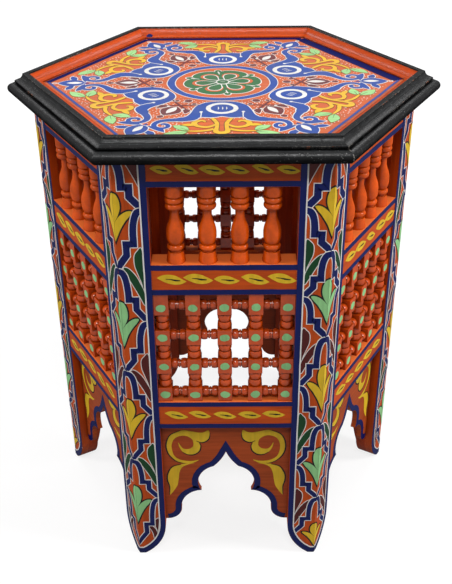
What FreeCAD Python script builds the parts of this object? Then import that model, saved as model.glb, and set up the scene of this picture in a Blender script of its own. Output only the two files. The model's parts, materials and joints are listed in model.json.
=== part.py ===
# Hexagonal side table of painted wood: a panelled top with a raised rim, six folded corner legs, and on
# each side three rails, a row of balusters, a turned lattice and an arched apron.
# Millimetres, +Z up, origin on the floor under the middle of the top, front side facing -Y.
# Each piece is drawn once, on the front side or the +X corner, and turned about Z to its other places.
import FreeCAD
import Part
import Sketcher
import math
import os

SIDES = ("front", "front_right", "back_right", "back", "back_left", "front_left")
SIDE_ANGLE = 360.0 / len(SIDES)
BALUSTER_COUNT = 4
LATTICE_COLUMNS = 5
LATTICE_ROWS = 4

# Driving sizes: name, millimetres, what it is
SIZES = (
    ("frame_across_flats", 352, "outer leg face to opposite outer leg face"),
    ("foot_clearance", 46.5, "floor to the lower ends of the apron"),
    ("apron_height", 141, "apron, lower ends to lower rail"),
    ("lower_rail_height", 35, "lower rail"),
    ("lattice_height", 131.5, "opening that holds the lattice"),
    ("middle_rail_height", 33.5, "middle rail"),
    ("gallery_height", 81, "opening that holds the balusters"),
    ("top_rail_height", 29.5, "top rail"),
    ("top_thickness", 12, "top panel and the edge strip round it"),
    ("rim_height", 10, "rim moulding above the panel face"),
    ("fit_clearance", 0.1, "room round a tenon, pin or tongue"),
    ("top_overhang", 22, "nose of the edge strip beyond the leg faces"),
    ("edge_strip_width", 33, "edge strip, panel to nose"),
    ("tongue_length", 8, "panel tongue in the groove of the edge strip"),
    ("tongue_thickness", 4, "panel tongue"),
    ("rim_setback", 7.5, "nose of the edge strip to the foot of the rim"),
    ("rim_quirk_width", 1.2, "groove under the outer foot of the rim"),
    ("rim_quirk_height", 1, "groove under the outer foot of the rim"),
    ("rim_ledge_height", 2, "upright outer face above that groove"),
    ("rim_ledge_width", 1, "flat between that face and the outer hollow"),
    ("rim_hollow_width", 6.8, "outer hollow of the rim, across"),
    ("rim_hollow_depth", 1.2, "sag of the outer hollow"),
    ("rim_fillet", 0.9, "small upright steps beside the top of the rim"),
    ("rim_top_width", 6, "flat top of the rim"),
    ("rim_step_width", 1.3, "small flat steps on the inner side of the rim"),
    ("rim_toe_height", 1.6, "upright inner toe of the rim"),
    ("rim_cove_depth", 1.8, "sag of the inner cove of the rim"),
    ("leg_thickness", 9, "leg boards"),
    ("leg_width", 31.6, "leg boards, fold to opening"),
    ("post_thickness", 13, "leg posts, glued behind the leg boards"),
    ("foot_width", 25, "curved taper at the foot of a leg board and its post, across"),
    ("foot_height", 44, "floor to where that taper begins"),
    ("foot_bulge", 6.5, "roundness of that taper"),
    ("cut_overrun", 1, "how far a trimming cut runs past the wood"),
    ("tenon_length", 10, "rail tenons"),
    ("tenon_thickness", 6, "rail tenons"),
    ("tenon_shoulder", 5, "rail above and below a tenon"),
    ("baluster_end_gap", 24, "leg board to the axis of the nearest baluster"),
    ("baluster_setback", 10, "rail face to the baluster axes"),
    ("baluster_pin_diameter", 7, "pins of the balusters"),
    ("baluster_pin_length", 8, "pins of the balusters"),
    ("baluster_base_diameter", 18.6, "foot of the base"),
    ("baluster_base_taper", 1.7, "how far the base draws in, each side"),
    ("baluster_base_height", 11.2, "base"),
    ("baluster_groove_height", 1.6, "groove above the base"),
    ("baluster_waist_diameter", 12.2, "groove above the base, and lower end of the vase"),
    ("baluster_ring_height", 6.1, "each turned ring"),
    ("baluster_foot_ring_bulge", 2.3, "roundness of the ring above the base"),
    ("baluster_collar_ring_bulge", 1.7, "roundness of a collar ring"),
    ("baluster_belly_diameter", 17.2, "widest part of the vase"),
    ("baluster_belly_rise", 9.1, "foot ring to the widest part of the vase"),
    ("baluster_belly_bulge", 0.8, "roundness of the vase above and below its widest part"),
    ("baluster_shoulder_diameter", 12.4, "where the hollow of the neck turns into the belly"),
    ("baluster_shoulder_drop", 14.3, "collar rings to that place"),
    ("baluster_neck_diameter", 8.8, "neck of the vase"),
    ("baluster_neck_height", 5.5, "straight neck below the two collar rings"),
    ("baluster_neck_hollow", 0.5, "sag of the hollow between neck and shoulder"),
    ("baluster_collar_diameter", 14.2, "hollow between the collar rings"),
    ("baluster_cap_diameter", 17.4, "cap under the top rail"),
    ("baluster_cap_height", 13, "cap under the top rail"),
    ("baluster_cap_rounding", 2.6, "height of the rounded lower edge of the cap"),
    ("baluster_cap_bulge", 0.5, "roundness of that edge"),
    ("block_width", 14.5, "square blocks of the lattice uprights"),
    ("block_height", 17.5, "square blocks of the lattice uprights"),
    ("lattice_stub", 7, "plain length from the top blocks to the middle rail"),
    ("lattice_side_gap", 0.3, "outer blocks to the leg boards"),
    ("lattice_setback", 1.5, "rail face to the faces of the blocks"),
    ("upright_drum_diameter", 12.6, "turned drums between the blocks, at their ends"),
    ("upright_drum_bulge", 0.7, "roundness of those drums"),
    ("upright_core_diameter", 9.2, "grooves between the drums"),
    ("upright_groove", 1.3, "grooves between the drums"),
    ("upright_pin_diameter", 6, "pins of the uprights in the rails"),
    ("upright_pin_length", 8, "pins of the uprights in the rails"),
    ("dowel_drum_diameter", 9.6, "drums of the cross dowels, at their ends"),
    ("dowel_drum_bulge", 0.7, "roundness of those drums"),
    ("dowel_ring_diameter", 8.8, "thin ring in the middle of a cross dowel"),
    ("dowel_ring_width", 1.7, "thin ring in the middle of a cross dowel"),
    ("dowel_groove", 0.9, "groove each side of that ring"),
    ("dowel_groove_diameter", 7, "groove each side of that ring"),
    ("dowel_pin_diameter", 4, "pins of the cross dowels in the blocks"),
    ("dowel_pin_length", 5, "pins of the cross dowels in the blocks"),
    ("apron_thickness", 6, "apron board"),
    ("apron_lap", 15, "apron behind each leg board"),
    ("arch_rise", 100, "lower ends of the apron to the tip of the arch"),
    ("arch_tip_width", 28, "arch across, where its pointed tip swells out"),
    ("arch_tip_drop", 21, "tip of the arch to that swelling"),
    ("arch_tip_bulge", 1.4, "hollow flank of the tip"),
    ("arch_cusp_width", 56, "arch across, between its two cusps"),
    ("arch_cusp_rise", 43.5, "lower ends of the apron to the cusps"),
    ("arch_shoulder_bulge", 9.5, "roundness of the upper lobe"),
    ("arch_lobe_rise", 16.5, "lower ends of the apron to the foot of the lower lobe"),
    ("arch_lobe_bulge", 7.8, "roundness of the lower lobe"),
    ("arch_flare_width", 15.8, "flare from the lower lobe out to the lower end"),
    ("arch_flare_bulge", 4.6, "roundness of that flare"),
    ("apron_end_width", 3.2, "lower end of the apron that shows beside a leg"),
    ("corner_block_side", 18, "corner block along each leg board"),
    ("corner_block_depth", 8, "corner block behind that"),
    ("corner_block_height", 30, "corner block"),
    ("screw_diameter", 4, "shanks of the top screws"),
    ("screw_head_diameter", 8, "heads of the top screws"),
    ("screw_head_height", 2.5, "heads of the top screws"),
    ("screw_bite", 8, "top screws in the panel"),
    ("screw_point", 3, "pointed end of a top screw"),
    ("nail_diameter", 1.8, "shanks of the apron nails"),
    ("nail_head_diameter", 5, "heads of the apron nails"),
    ("nail_head_height", 1, "heads of the apron nails"),
    ("nail_bite", 6, "apron nails in the leg boards"),
    ("nail_point", 2, "pointed end of an apron nail"),
    ("nail_edge_distance", 30, "apron nails from the upper and lower edge of the apron"),
)

# Places worked out from the sizes: name, formula, what it is
PLACES = (
    ("side_ratio", "tan(30 deg)", "half a hexagon's side over its apothem"),
    ("face_apothem", "Sizes.frame_across_flats / 2", "outer faces of legs and rails"),
    ("leg_depth", "Sizes.leg_thickness + Sizes.post_thickness", "legs and rails, front to back"),
    ("leg_inner_apothem", "face_apothem - Sizes.leg_thickness", "between the leg boards and their posts"),
    ("post_inner_apothem", "face_apothem - leg_depth", "inner faces of the posts and rails"),
    ("fold_half", "face_apothem * side_ratio", "middle of a side to the fold of a leg"),
    ("opening_half", "fold_half - Sizes.leg_width", "middle of a side to a leg board"),
    ("tenon_setback", "(Sizes.post_thickness - Sizes.tenon_thickness) / 2", "post face to tenon"),
    ("tenon_apothem", "leg_inner_apothem - tenon_setback", "outer faces of the tenons"),
    ("apron_top", "Sizes.foot_clearance + Sizes.apron_height", "top of the aprons"),
    ("lower_rail_top", "apron_top + Sizes.lower_rail_height", "top of the lower rails"),
    ("middle_rail_bottom", "lower_rail_top + Sizes.lattice_height", "underside of the middle rails"),
    ("middle_rail_top", "middle_rail_bottom + Sizes.middle_rail_height", "top of the middle rails"),
    ("top_rail_bottom", "middle_rail_top + Sizes.gallery_height", "underside of the top rails"),
    ("frame_top", "top_rail_bottom + Sizes.top_rail_height", "top of the legs and rails"),
    ("panel_top", "frame_top + Sizes.top_thickness", "face of the panel"),
    ("nose_apothem", "face_apothem + Sizes.top_overhang", "nose of the edge strips"),
    ("panel_apothem", "nose_apothem - Sizes.edge_strip_width", "edge of the panel"),
    ("tongue_apothem", "panel_apothem + Sizes.tongue_length", "end of the panel tongue"),
    ("tongue_bottom", "frame_top + (Sizes.top_thickness - Sizes.tongue_thickness) / 2", "tongue, below"),
    ("tongue_top", "tongue_bottom + Sizes.tongue_thickness", "tongue, above"),
    ("nose_straight", "nose_apothem - Sizes.top_thickness / 2", "where the nose starts to round"),
    ("rim_foot_apothem", "nose_apothem - Sizes.rim_setback", "outer foot of the rim"),
    ("rim_hollow_foot", "rim_foot_apothem - Sizes.rim_ledge_width", "lower end of the outer hollow"),
    ("rim_outer_edge", "rim_hollow_foot - Sizes.rim_hollow_width", "outer edge of the flat top"),
    ("rim_inner_edge", "rim_outer_edge - Sizes.rim_top_width", "inner edge of the flat top"),
    ("rim_ledge_top", "panel_top + Sizes.rim_quirk_height + Sizes.rim_ledge_height", "outer ledge"),
    ("rim_top", "panel_top + Sizes.rim_height", "top of the table"),
    ("baluster_pitch", "2 * (opening_half - Sizes.baluster_end_gap) / %d" % (BALUSTER_COUNT - 1), "spacing"),
    ("baluster_apothem", "face_apothem - Sizes.baluster_setback", "baluster axes"),
    ("lattice_apothem", "face_apothem - Sizes.lattice_setback - Sizes.block_width / 2", "lattice axes"),
    ("column_span", "2 * (opening_half - Sizes.lattice_side_gap) - Sizes.block_width", "outer columns"),
    ("column_pitch", "column_span / %d" % (LATTICE_COLUMNS - 1), "spacing of the uprights"),
    ("row_first", "lower_rail_top + Sizes.block_height / 2", "middle of the lowest blocks"),
    ("row_span", "Sizes.lattice_height - Sizes.lattice_stub - Sizes.block_height", "outer rows"),
    ("row_pitch", "row_span / %d" % (LATTICE_ROWS - 1), "spacing of the rows"),
    ("drum_span", "row_pitch - Sizes.block_height", "from one block up to the next"),
    ("upright_drum", "(drum_span - 3 * Sizes.upright_groove) / 2", "length of a drum of an upright"),
    ("dowel_half", "(column_pitch - Sizes.block_width) / 2 - Sizes.fit_clearance", "half a cross dowel"),
    ("dowel_ring_half", "Sizes.dowel_ring_width / 2", "half the thin ring of a cross dowel"),
    ("dowel_drum_start", "dowel_ring_half + Sizes.dowel_groove", "inner end of a dowel drum"),
    ("apron_half", "opening_half + Sizes.apron_lap", "half the width of an apron"),
    ("arch_end_half", "opening_half - Sizes.apron_end_width", "lower end of the arch"),
    ("arch_lobe_half", "arch_end_half - Sizes.arch_flare_width", "foot of the lower lobe"),
    ("arch_top", "Sizes.foot_clearance + Sizes.arch_rise", "tip of the arch"),
    ("arch_swell", "arch_top - Sizes.arch_tip_drop", "where the tip of the arch swells out"),
    ("arch_cusp", "Sizes.foot_clearance + Sizes.arch_cusp_rise", "cusps of the arch"),
    ("arch_lobe", "Sizes.foot_clearance + Sizes.arch_lobe_rise", "foot of the lower lobes"),
    ("nail_half", "opening_half + Sizes.apron_lap / 2", "middle of a side to its nails"),
    ("nail_low", "Sizes.foot_clearance + Sizes.nail_edge_distance", "lower nails"),
    ("nail_high", "apron_top - Sizes.nail_edge_distance", "upper nails"),
    ("inner_corner", "post_inner_apothem / cos(30 deg)", "axis to the inner fold of a leg"),
    ("block_shoulder", "inner_corner - Sizes.corner_block_side * cos(60 deg)", "corner block, widest"),
    ("block_back", "block_shoulder - Sizes.corner_block_depth", "inner face of a corner block"),
    ("block_half", "Sizes.corner_block_side * sin(60 deg)", "half the width of a corner block"),
    ("block_bottom", "frame_top - Sizes.corner_block_height", "underside of a corner block"),
)

doc = FreeCAD.newDocument("PaintedSideTable")


def fill_sheet(name, rows, mark):
    """A sheet with one aliased cell per row; mark is = for formulas and empty for plain numbers."""
    sheet = doc.addObject("Spreadsheet::Sheet", name)
    for line, (alias, content, meaning) in enumerate(rows, start=1):
        sheet.set("A%d" % line, meaning)
        sheet.set("B%d" % line, "%s%s" % (mark, content))
        sheet.setAlias("B%d" % line, alias)
    doc.recompute()
    return sheet


sizes = fill_sheet("Sizes", SIZES, "")
places = fill_sheet("Places", PLACES, "=")


def number(expression):
    return float(sizes.evalExpression(expression))


def arc_between(start, end, sagitta):
    """Arc from start to end that rises by the sagitta on the left of the way there (right if negative)."""
    chord = end - start
    radius = chord.Length ** 2 / (8 * abs(sagitta)) + abs(sagitta) / 2
    left = FreeCAD.Vector(-chord.y, chord.x, 0) / chord.Length
    centre = (start + end) / 2 + left * (sagitta - math.copysign(radius, sagitta))
    angles = [math.atan2(point.y - centre.y, point.x - centre.x) for point in (start, end)]
    ends = (1, 2)
    if sagitta > 0:
        angles.reverse()
        ends = (2, 1)
    circle = Part.Circle(centre, FreeCAD.Vector(0, 0, 1), radius)
    return Part.ArcOfCircle(circle, angles[0], angles[1]), ends


class Drawing:
    """A sketch on one of a body's own origin planes, with every corner and hole tied to the sheets."""

    def __init__(self, body, plane_role, offset=None):
        plane = [part for part in body.Origin.OriginFeatures if part.Role == plane_role][0]
        self.sketch = body.newObject("Sketcher::SketchObject", body.Name + "Sketch")
        self.sketch.AttachmentSupport = (plane, [""])
        self.sketch.MapMode = "FlatFace"
        if offset:
            self.sketch.setExpression(".AttachmentOffset.Base.z", offset)

    def tie(self, constraints):
        """Add the constraints, each given with the expression that drives it or None."""
        indexes = self.sketch.addConstraint([constraint for constraint, expression in constraints])
        for index, (constraint, expression) in zip(indexes, constraints):
            if expression:
                self.sketch.setExpression("Constraints[%d]" % index, expression)

    def place(self, geometry, end, x, y):
        """Constraints that hold one point of a geometry at x, y, where "0" is on the axis itself."""
        held = []
        for kind, axis, value in (("DistanceX", -2, x), ("DistanceY", -1, y)):
            if value == "0":
                held.append((Sketcher.Constraint("PointOnObject", geometry, end, axis), None))
            else:
                distance = Sketcher.Constraint(kind, -1, 1, geometry, end, number(value))
                held.append((distance, value))
        return held

    def outline(self, corners, bulges=None):
        """Closed outline. bulges makes the edge that leaves a corner an arc: corner: (side, sagitta)."""
        bulges = bulges or {}
        points = [FreeCAD.Vector(number(x), number(y), 0) for x, y in corners]
        edges = []
        constraints = []
        for index, start in enumerate(points):
            following = (index + 1) % len(points)
            if index not in bulges:
                line = Part.LineSegment(start, points[following])
                edges.append((self.sketch.addGeometry(line), (1, 2)))
                continue
            side, sagitta = bulges[index]
            sign = 1 if side == "left" else -1
            arc, ends = arc_between(start, points[following], sign * number(sagitta))
            geometry = self.sketch.addGeometry(arc)
            edges.append((geometry, ends))
            across = "((%s) - (%s))^2" % (corners[following][0], corners[index][0])
            along = "((%s) - (%s))^2" % (corners[following][1], corners[index][1])
            radius = "(%s + %s) / (8 * (%s)) + (%s) / 2" % (across, along, sagitta, sagitta)
            constraints.append((Sketcher.Constraint("Radius", geometry, arc.Radius), radius))
        for index, (geometry, ends) in enumerate(edges):
            before, before_ends = edges[index - 1]
            meet = Sketcher.Constraint("Coincident", before, before_ends[1], geometry, ends[0])
            constraints.append((meet, None))
            constraints += self.place(geometry, ends[0], *corners[index])
        self.tie(constraints)
        return self

    def rectangle(self, left, right, bottom, top):
        return self.outline([(left, bottom), (right, bottom), (right, top), (left, top)])

    def hole(self, x, y, diameter):
        middle = FreeCAD.Vector(number(x), number(y), 0)
        circle = Part.Circle(middle, FreeCAD.Vector(0, 0, 1), number(diameter) / 2)
        geometry = self.sketch.addGeometry(circle)
        size = Sketcher.Constraint("Diameter", geometry, number(diameter))
        self.tie([(size, diameter)] + self.place(geometry, 3, x, y))
        return self


def new_body(name):
    return doc.addObject("PartDesign::Body", name)


def extrude(body, kind, drawing, length, reverse=False, both_ways=False):
    """Pad or Pocket by the length; both_ways halves it to each side of the sketch."""
    feature = body.newObject("PartDesign::" + kind, body.Name + kind)
    feature.Profile = drawing.sketch
    feature.Reversed = reverse
    if both_ways:
        feature.SideType = "Symmetric"
    feature.setExpression("Length", length)
    return feature


def turn(body, drawing, axis):
    feature = body.newObject("PartDesign::Revolution", body.Name + "Turning")
    feature.Profile = drawing.sketch
    feature.ReferenceAxis = (drawing.sketch, [axis])
    return feature


def hexagon(apothem):
    """Corners of a hexagon with a flat side to the front."""
    corners = []
    for step in range(len(SIDES)):
        angle = step * SIDE_ANGLE
        radius = "%s / cos(30 deg)" % apothem
        height = "0" if angle % 180 == 0 else "%s * sin(%g deg)" % (radius, angle)
        corners.append(("%s * cos(%g deg)" % (radius, angle), height))
    return corners


def with_clearance(diameter):
    return "%s + 2 * Sizes.fit_clearance" % diameter


def baluster_places():
    """Distances of the balusters from the middle of their side."""
    middle = (BALUSTER_COUNT - 1) / 2
    return ["%g * Places.baluster_pitch" % (index - middle) for index in range(BALUSTER_COUNT)]


def column_places():
    """Distances of the lattice uprights from the middle of their side."""
    middle = (LATTICE_COLUMNS - 1) / 2
    return ["%g * Places.column_pitch" % (index - middle) for index in range(LATTICE_COLUMNS)]


def row_places():
    """Heights of the middles of the lattice blocks."""
    return ["Places.row_first + %d * Places.row_pitch" % index for index in range(LATTICE_ROWS)]


def make_top_panel():
    body = new_body("TopPanel")
    board = Drawing(body, "XY_Plane", "Places.frame_top").outline(hexagon("Places.panel_apothem"))
    extrude(body, "Pad", board, "Sizes.top_thickness")
    tongue = Drawing(body, "XY_Plane", "Places.tongue_bottom").outline(hexagon("Places.tongue_apothem"))
    extrude(body, "Pad", tongue, "Sizes.tongue_thickness")
    screws = Drawing(body, "XY_Plane", "Places.frame_top")
    for step in range(len(SIDES)):
        angle = step * SIDE_ANGLE
        height = "0" if angle % 180 == 0 else "Places.block_shoulder * sin(%g deg)" % angle
        screws.hole("Places.block_shoulder * cos(%g deg)" % angle, height,
                    with_clearance("Sizes.screw_diameter"))
    extrude(body, "Pocket", screws, "Sizes.screw_bite + Sizes.fit_clearance", reverse=True)
    return body


def mitre_ends(body, inner, outer):
    """Cut both ends of a strip of the hexagon along the lines from the table's axis to its corners."""
    cut = Drawing(body, "XY_Plane")
    near = "(%s - Sizes.cut_overrun)" % inner
    far = "(%s + Sizes.cut_overrun)" % outer
    for sign in ("", "-"):
        near_end = "%s%s * Places.side_ratio" % (sign, near)
        far_end = "%s%s * Places.side_ratio" % (sign, far)
        cut.outline([(near_end, "-" + near), (far_end, "-" + far), (far_end, "-" + near)])
    extrude(body, "Pocket", cut, "Places.rim_top + Sizes.cut_overrun", reverse=True)


def make_edge_strip():
    """Strip round the panel: grooved for its tongue, with a half-round nose."""
    body = new_body("EdgeStrip")
    groove_end = "-(Places.tongue_apothem + Sizes.fit_clearance)"
    groove_bottom = "Places.tongue_bottom - Sizes.fit_clearance"
    groove_top = "Places.tongue_top + Sizes.fit_clearance"
    quarter_nose = ("left", "Sizes.top_thickness / 2 * (1 - cos(45 deg))")
    profile = Drawing(body, "YZ_Plane").outline(
        [("-Places.panel_apothem", "Places.frame_top"), ("-Places.nose_straight", "Places.frame_top"),
         ("-Places.nose_apothem", "Places.frame_top + Sizes.top_thickness / 2"),
         ("-Places.nose_straight", "Places.panel_top"), ("-Places.panel_apothem", "Places.panel_top"),
         ("-Places.panel_apothem", groove_top), (groove_end, groove_top), (groove_end, groove_bottom),
         ("-Places.panel_apothem", groove_bottom)],
        {1: quarter_nose, 2: quarter_nose})
    extrude(body, "Pad", profile, "2 * Places.nose_apothem * Places.side_ratio", both_ways=True)
    mitre_ends(body, "Places.panel_apothem", "Places.nose_apothem")
    return body


def make_rim_moulding():
    """Raised rim: hollow outside over a thin groove, flat top, stepped cove down to the panel."""
    body = new_body("RimMoulding")
    quirk_apothem = "-(Places.rim_foot_apothem - Sizes.rim_quirk_width)"
    quirk_top = "Places.panel_top + Sizes.rim_quirk_height"
    toe_top = "Places.panel_top + Sizes.rim_toe_height"
    upper_step = "Places.rim_top - Sizes.rim_fillet"
    profile = Drawing(body, "YZ_Plane").outline(
        [("-Places.panel_apothem", "Places.panel_top"), (quirk_apothem, "Places.panel_top"),
         (quirk_apothem, quirk_top), ("-Places.rim_foot_apothem", quirk_top),
         ("-Places.rim_foot_apothem", "Places.rim_ledge_top"),
         ("-Places.rim_hollow_foot", "Places.rim_ledge_top"), ("-Places.rim_outer_edge", upper_step),
         ("-Places.rim_outer_edge", "Places.rim_top"), ("-Places.rim_inner_edge", "Places.rim_top"),
         ("-Places.rim_inner_edge", upper_step),
         ("-(Places.rim_inner_edge - Sizes.rim_step_width)", upper_step),
         ("-(Places.panel_apothem + Sizes.rim_step_width)", toe_top), ("-Places.panel_apothem", toe_top)],
        {5: ("right", "Sizes.rim_hollow_depth"), 10: ("right", "Sizes.rim_cove_depth")})
    extrude(body, "Pad", profile, "2 * Places.rim_foot_apothem * Places.side_ratio", both_ways=True)
    mitre_ends(body, "Places.panel_apothem", "Places.rim_foot_apothem")
    return body


RAILS = {
    "top_rail": ("Places.top_rail_bottom", "Places.frame_top"),
    "middle_rail": ("Places.middle_rail_bottom", "Places.middle_rail_top"),
    "lower_rail": ("Places.apron_top", "Places.lower_rail_top"),
}


def make_leg_layer(name, sign, outer, inner, thickness):
    """One layer of half a folded corner leg: mitred at the fold and tapered at the foot."""
    body = new_body(name)
    opening = sign + "Places.opening_half"
    plan = Drawing(body, "XY_Plane").outline(
        [(opening, "-" + outer), (sign + outer + " * Places.side_ratio", "-" + outer),
         (sign + inner + " * Places.side_ratio", "-" + inner), (opening, "-" + inner)])
    extrude(body, "Pad", plan, "Places.frame_top")

    over = "-Sizes.cut_overrun"
    toe = sign + "(Places.opening_half + Sizes.foot_width)"
    beyond = sign + "(Places.opening_half - Sizes.cut_overrun)"
    foot = Drawing(body, "XZ_Plane", outer).outline(
        [(beyond, over), (toe, over), (toe, "0"), (opening, "Sizes.foot_height"),
         (beyond, "Sizes.foot_height")],
        {2: ("right" if sign else "left", "Sizes.foot_bulge")})
    extrude(body, "Pocket", foot, thickness)
    return body


def side_nail_holes(body, signs, depth, reverse=False):
    """Nail holes at both heights, from the plane between the leg boards and their posts."""
    holes = Drawing(body, "XZ_Plane", "Places.leg_inner_apothem")
    for sign in signs:
        for height in ("Places.nail_low", "Places.nail_high"):
            holes.hole(sign + "Places.nail_half", height, with_clearance("Sizes.nail_diameter"))
    extrude(body, "Pocket", holes, depth, reverse=reverse)


def make_leg_board(name, sign):
    """Painted outer layer of half a corner leg."""
    body = make_leg_layer(name, sign, "Places.face_apothem", "Places.leg_inner_apothem",
                          "Sizes.leg_thickness")
    side_nail_holes(body, [sign], "Sizes.nail_bite + Sizes.fit_clearance", reverse=True)
    return body


def make_leg_post(name, sign):
    """Inner layer of half a corner leg: mortised for the rails and notched for the apron."""
    body = make_leg_layer(name, sign, "Places.leg_inner_apothem", "Places.post_inner_apothem",
                          "Sizes.post_thickness")
    front = "-(Places.tenon_apothem + Sizes.fit_clearance)"
    back = "-(Places.tenon_apothem - Sizes.tenon_thickness - Sizes.fit_clearance)"
    mortises = Drawing(body, "YZ_Plane")
    for bottom, top in RAILS.values():
        mortises.rectangle(front, back, bottom + " + Sizes.tenon_shoulder - Sizes.fit_clearance",
                           top + " - Sizes.tenon_shoulder + Sizes.fit_clearance")
    reach = "Places.opening_half + Sizes.tenon_length + Sizes.fit_clearance"
    extrude(body, "Pocket", mortises, reach, reverse=not sign)

    notch = Drawing(body, "XZ_Plane", "Places.leg_inner_apothem")
    notch.rectangle(sign + "(Places.opening_half - Sizes.cut_overrun)",
                    sign + "(Places.apron_half + Sizes.fit_clearance)",
                    "Sizes.foot_clearance - Sizes.fit_clearance", "Places.apron_top + Sizes.fit_clearance")
    extrude(body, "Pocket", notch, "Sizes.apron_thickness + Sizes.fit_clearance")
    side_nail_holes(body, [sign], "Sizes.post_thickness")
    return body


def make_rail(name, rail, sockets_below=(), sockets_above=()):
    """Rail with a tenon at each end. Sockets: rows of holes as (distances, apothem, diameter, depth)."""
    bottom, top = RAILS[rail]
    body = new_body(name)
    board = Drawing(body, "XZ_Plane", "Places.face_apothem")
    board.rectangle("-Places.opening_half", "Places.opening_half", bottom, top)
    extrude(body, "Pad", board, "Places.leg_depth", reverse=True)
    tenons = Drawing(body, "XZ_Plane", "Places.tenon_apothem")
    tenon_half = "(Places.opening_half + Sizes.tenon_length)"
    tenons.rectangle("-" + tenon_half, tenon_half, bottom + " + Sizes.tenon_shoulder",
                     top + " - Sizes.tenon_shoulder")
    extrude(body, "Pad", tenons, "Sizes.tenon_thickness", reverse=True)
    for level, rows in ((bottom, sockets_below), (top, sockets_above)):
        for distances, apothem, diameter, depth in rows:
            holes = Drawing(body, "XY_Plane", level)
            for distance in distances:
                holes.hole(distance, "-" + apothem, with_clearance(diameter))
            extrude(body, "Pocket", holes, depth + " + Sizes.fit_clearance", reverse=level == bottom)
    return body


def make_baluster():
    """Turned baluster: base, ring, vase, two collar rings and cap, with a pin at each end."""
    body = new_body("Baluster")
    bottom, top = "Places.middle_rail_top", "Places.top_rail_bottom"
    pin = "Sizes.baluster_pin_diameter / 2"
    base = "Sizes.baluster_base_diameter / 2"
    waist = "Sizes.baluster_waist_diameter / 2"
    collar = "Sizes.baluster_collar_diameter / 2"
    cap = "Sizes.baluster_cap_diameter / 2"
    neck = "Sizes.baluster_neck_diameter / 2"
    base_top = bottom + " + Sizes.baluster_base_height"
    ring_bottom = base_top + " + Sizes.baluster_groove_height"
    ring_top = ring_bottom + " + Sizes.baluster_ring_height"
    cap_bottom = top + " - Sizes.baluster_cap_height"
    collar_bottom = cap_bottom + " - 2 * Sizes.baluster_ring_height"
    foot_ring_bulge = ("right", "Sizes.baluster_foot_ring_bulge")
    collar_ring_bulge = ("right", "Sizes.baluster_collar_ring_bulge")
    belly_bulge = ("right", "Sizes.baluster_belly_bulge")
    neck_hollow = ("left", "Sizes.baluster_neck_hollow")
    cap_bulge = ("right", "Sizes.baluster_cap_bulge")
    profile = Drawing(body, "XZ_Plane").outline(
        [("0", bottom + " - Sizes.baluster_pin_length"), (pin, bottom + " - Sizes.baluster_pin_length"),
         (pin, bottom), (base, bottom), (base + " - Sizes.baluster_base_taper", base_top),
         (waist, base_top), (waist, ring_bottom), (waist, ring_top),
         ("Sizes.baluster_belly_diameter / 2", ring_top + " + Sizes.baluster_belly_rise"),
         ("Sizes.baluster_shoulder_diameter / 2", collar_bottom + " - Sizes.baluster_shoulder_drop"),
         (neck, collar_bottom + " - Sizes.baluster_neck_height"), (neck, collar_bottom), (collar, collar_bottom),
         (collar, collar_bottom + " + Sizes.baluster_ring_height"), (collar, cap_bottom),
         (cap, cap_bottom + " + Sizes.baluster_cap_rounding"), (cap, top), (pin, top),
         (pin, top + " + Sizes.baluster_pin_length"), ("0", top + " + Sizes.baluster_pin_length")],
        {6: foot_ring_bulge, 7: belly_bulge, 8: belly_bulge, 9: neck_hollow, 12: collar_ring_bulge,
         13: collar_ring_bulge, 14: cap_bulge})
    turn(body, profile, "V_Axis")
    return body


def make_upright():
    """Lattice upright: square blocks with two turned drums between each pair, and a pin at each end."""
    body = new_body("LatticeUpright")
    bottom, top = "Places.lower_rail_top", "Places.middle_rail_bottom"
    pin = "Sizes.upright_pin_diameter / 2"
    core = "Sizes.upright_core_diameter / 2"
    drum = "Sizes.upright_drum_diameter / 2"
    corners = [("0", bottom + " - Sizes.upright_pin_length"), (pin, bottom + " - Sizes.upright_pin_length"),
               (pin, bottom), (core, bottom)]
    bulges = {}
    for row in row_places()[:-1]:
        level = row + " + Sizes.block_height / 2"
        for _ in range(2):
            level += " + Sizes.upright_groove"
            corners += [(core, level), (drum, level)]
            bulges[len(corners) - 1] = ("right", "Sizes.upright_drum_bulge")
            level += " + Places.upright_drum"
            corners += [(drum, level), (core, level)]
    corners += [(core, top), (pin, top), (pin, top + " + Sizes.upright_pin_length"),
                ("0", top + " + Sizes.upright_pin_length")]
    turn(body, Drawing(body, "XZ_Plane").outline(corners, bulges), "V_Axis")

    blocks = Drawing(body, "XZ_Plane")
    half = "Sizes.block_width / 2"
    for row in row_places():
        block_top = top if row == row_places()[-1] else row + " + Sizes.block_height / 2"
        blocks.rectangle("-" + half, half, row + " - Sizes.block_height / 2", block_top)
    extrude(body, "Pad", blocks, "Sizes.block_width", both_ways=True)

    sockets = Drawing(body, "YZ_Plane")
    for row in row_places():
        sockets.hole("0", row, with_clearance("Sizes.dowel_pin_diameter"))
    extrude(body, "Pocket", sockets, "2 * Sizes.block_width", both_ways=True)
    return body


def make_cross_dowel():
    """Cross dowel of the lattice: two drums, a thin ring between them, and a pin at each end."""
    body = new_body("CrossDowel")
    end = "Places.dowel_half"
    tip = "(Places.dowel_half + Sizes.dowel_pin_length)"
    pin = "Sizes.dowel_pin_diameter / 2"
    drum = "Sizes.dowel_drum_diameter / 2"
    groove = "Sizes.dowel_groove_diameter / 2"
    ring = "Sizes.dowel_ring_diameter / 2"
    half = [(tip, "0"), (tip, pin), (end, pin), (end, drum), ("Places.dowel_drum_start", drum),
            ("Places.dowel_drum_start", groove), ("Places.dowel_ring_half", groove),
            ("Places.dowel_ring_half", ring)]
    mirrored = [("-" + along, radius) for along, radius in half]
    drum_bulge = ("left", "Sizes.dowel_drum_bulge")
    outline = mirrored + half[::-1]
    turn(body, Drawing(body, "XY_Plane").outline(outline, {3: drum_bulge, 11: drum_bulge}), "H_Axis")
    return body


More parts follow.
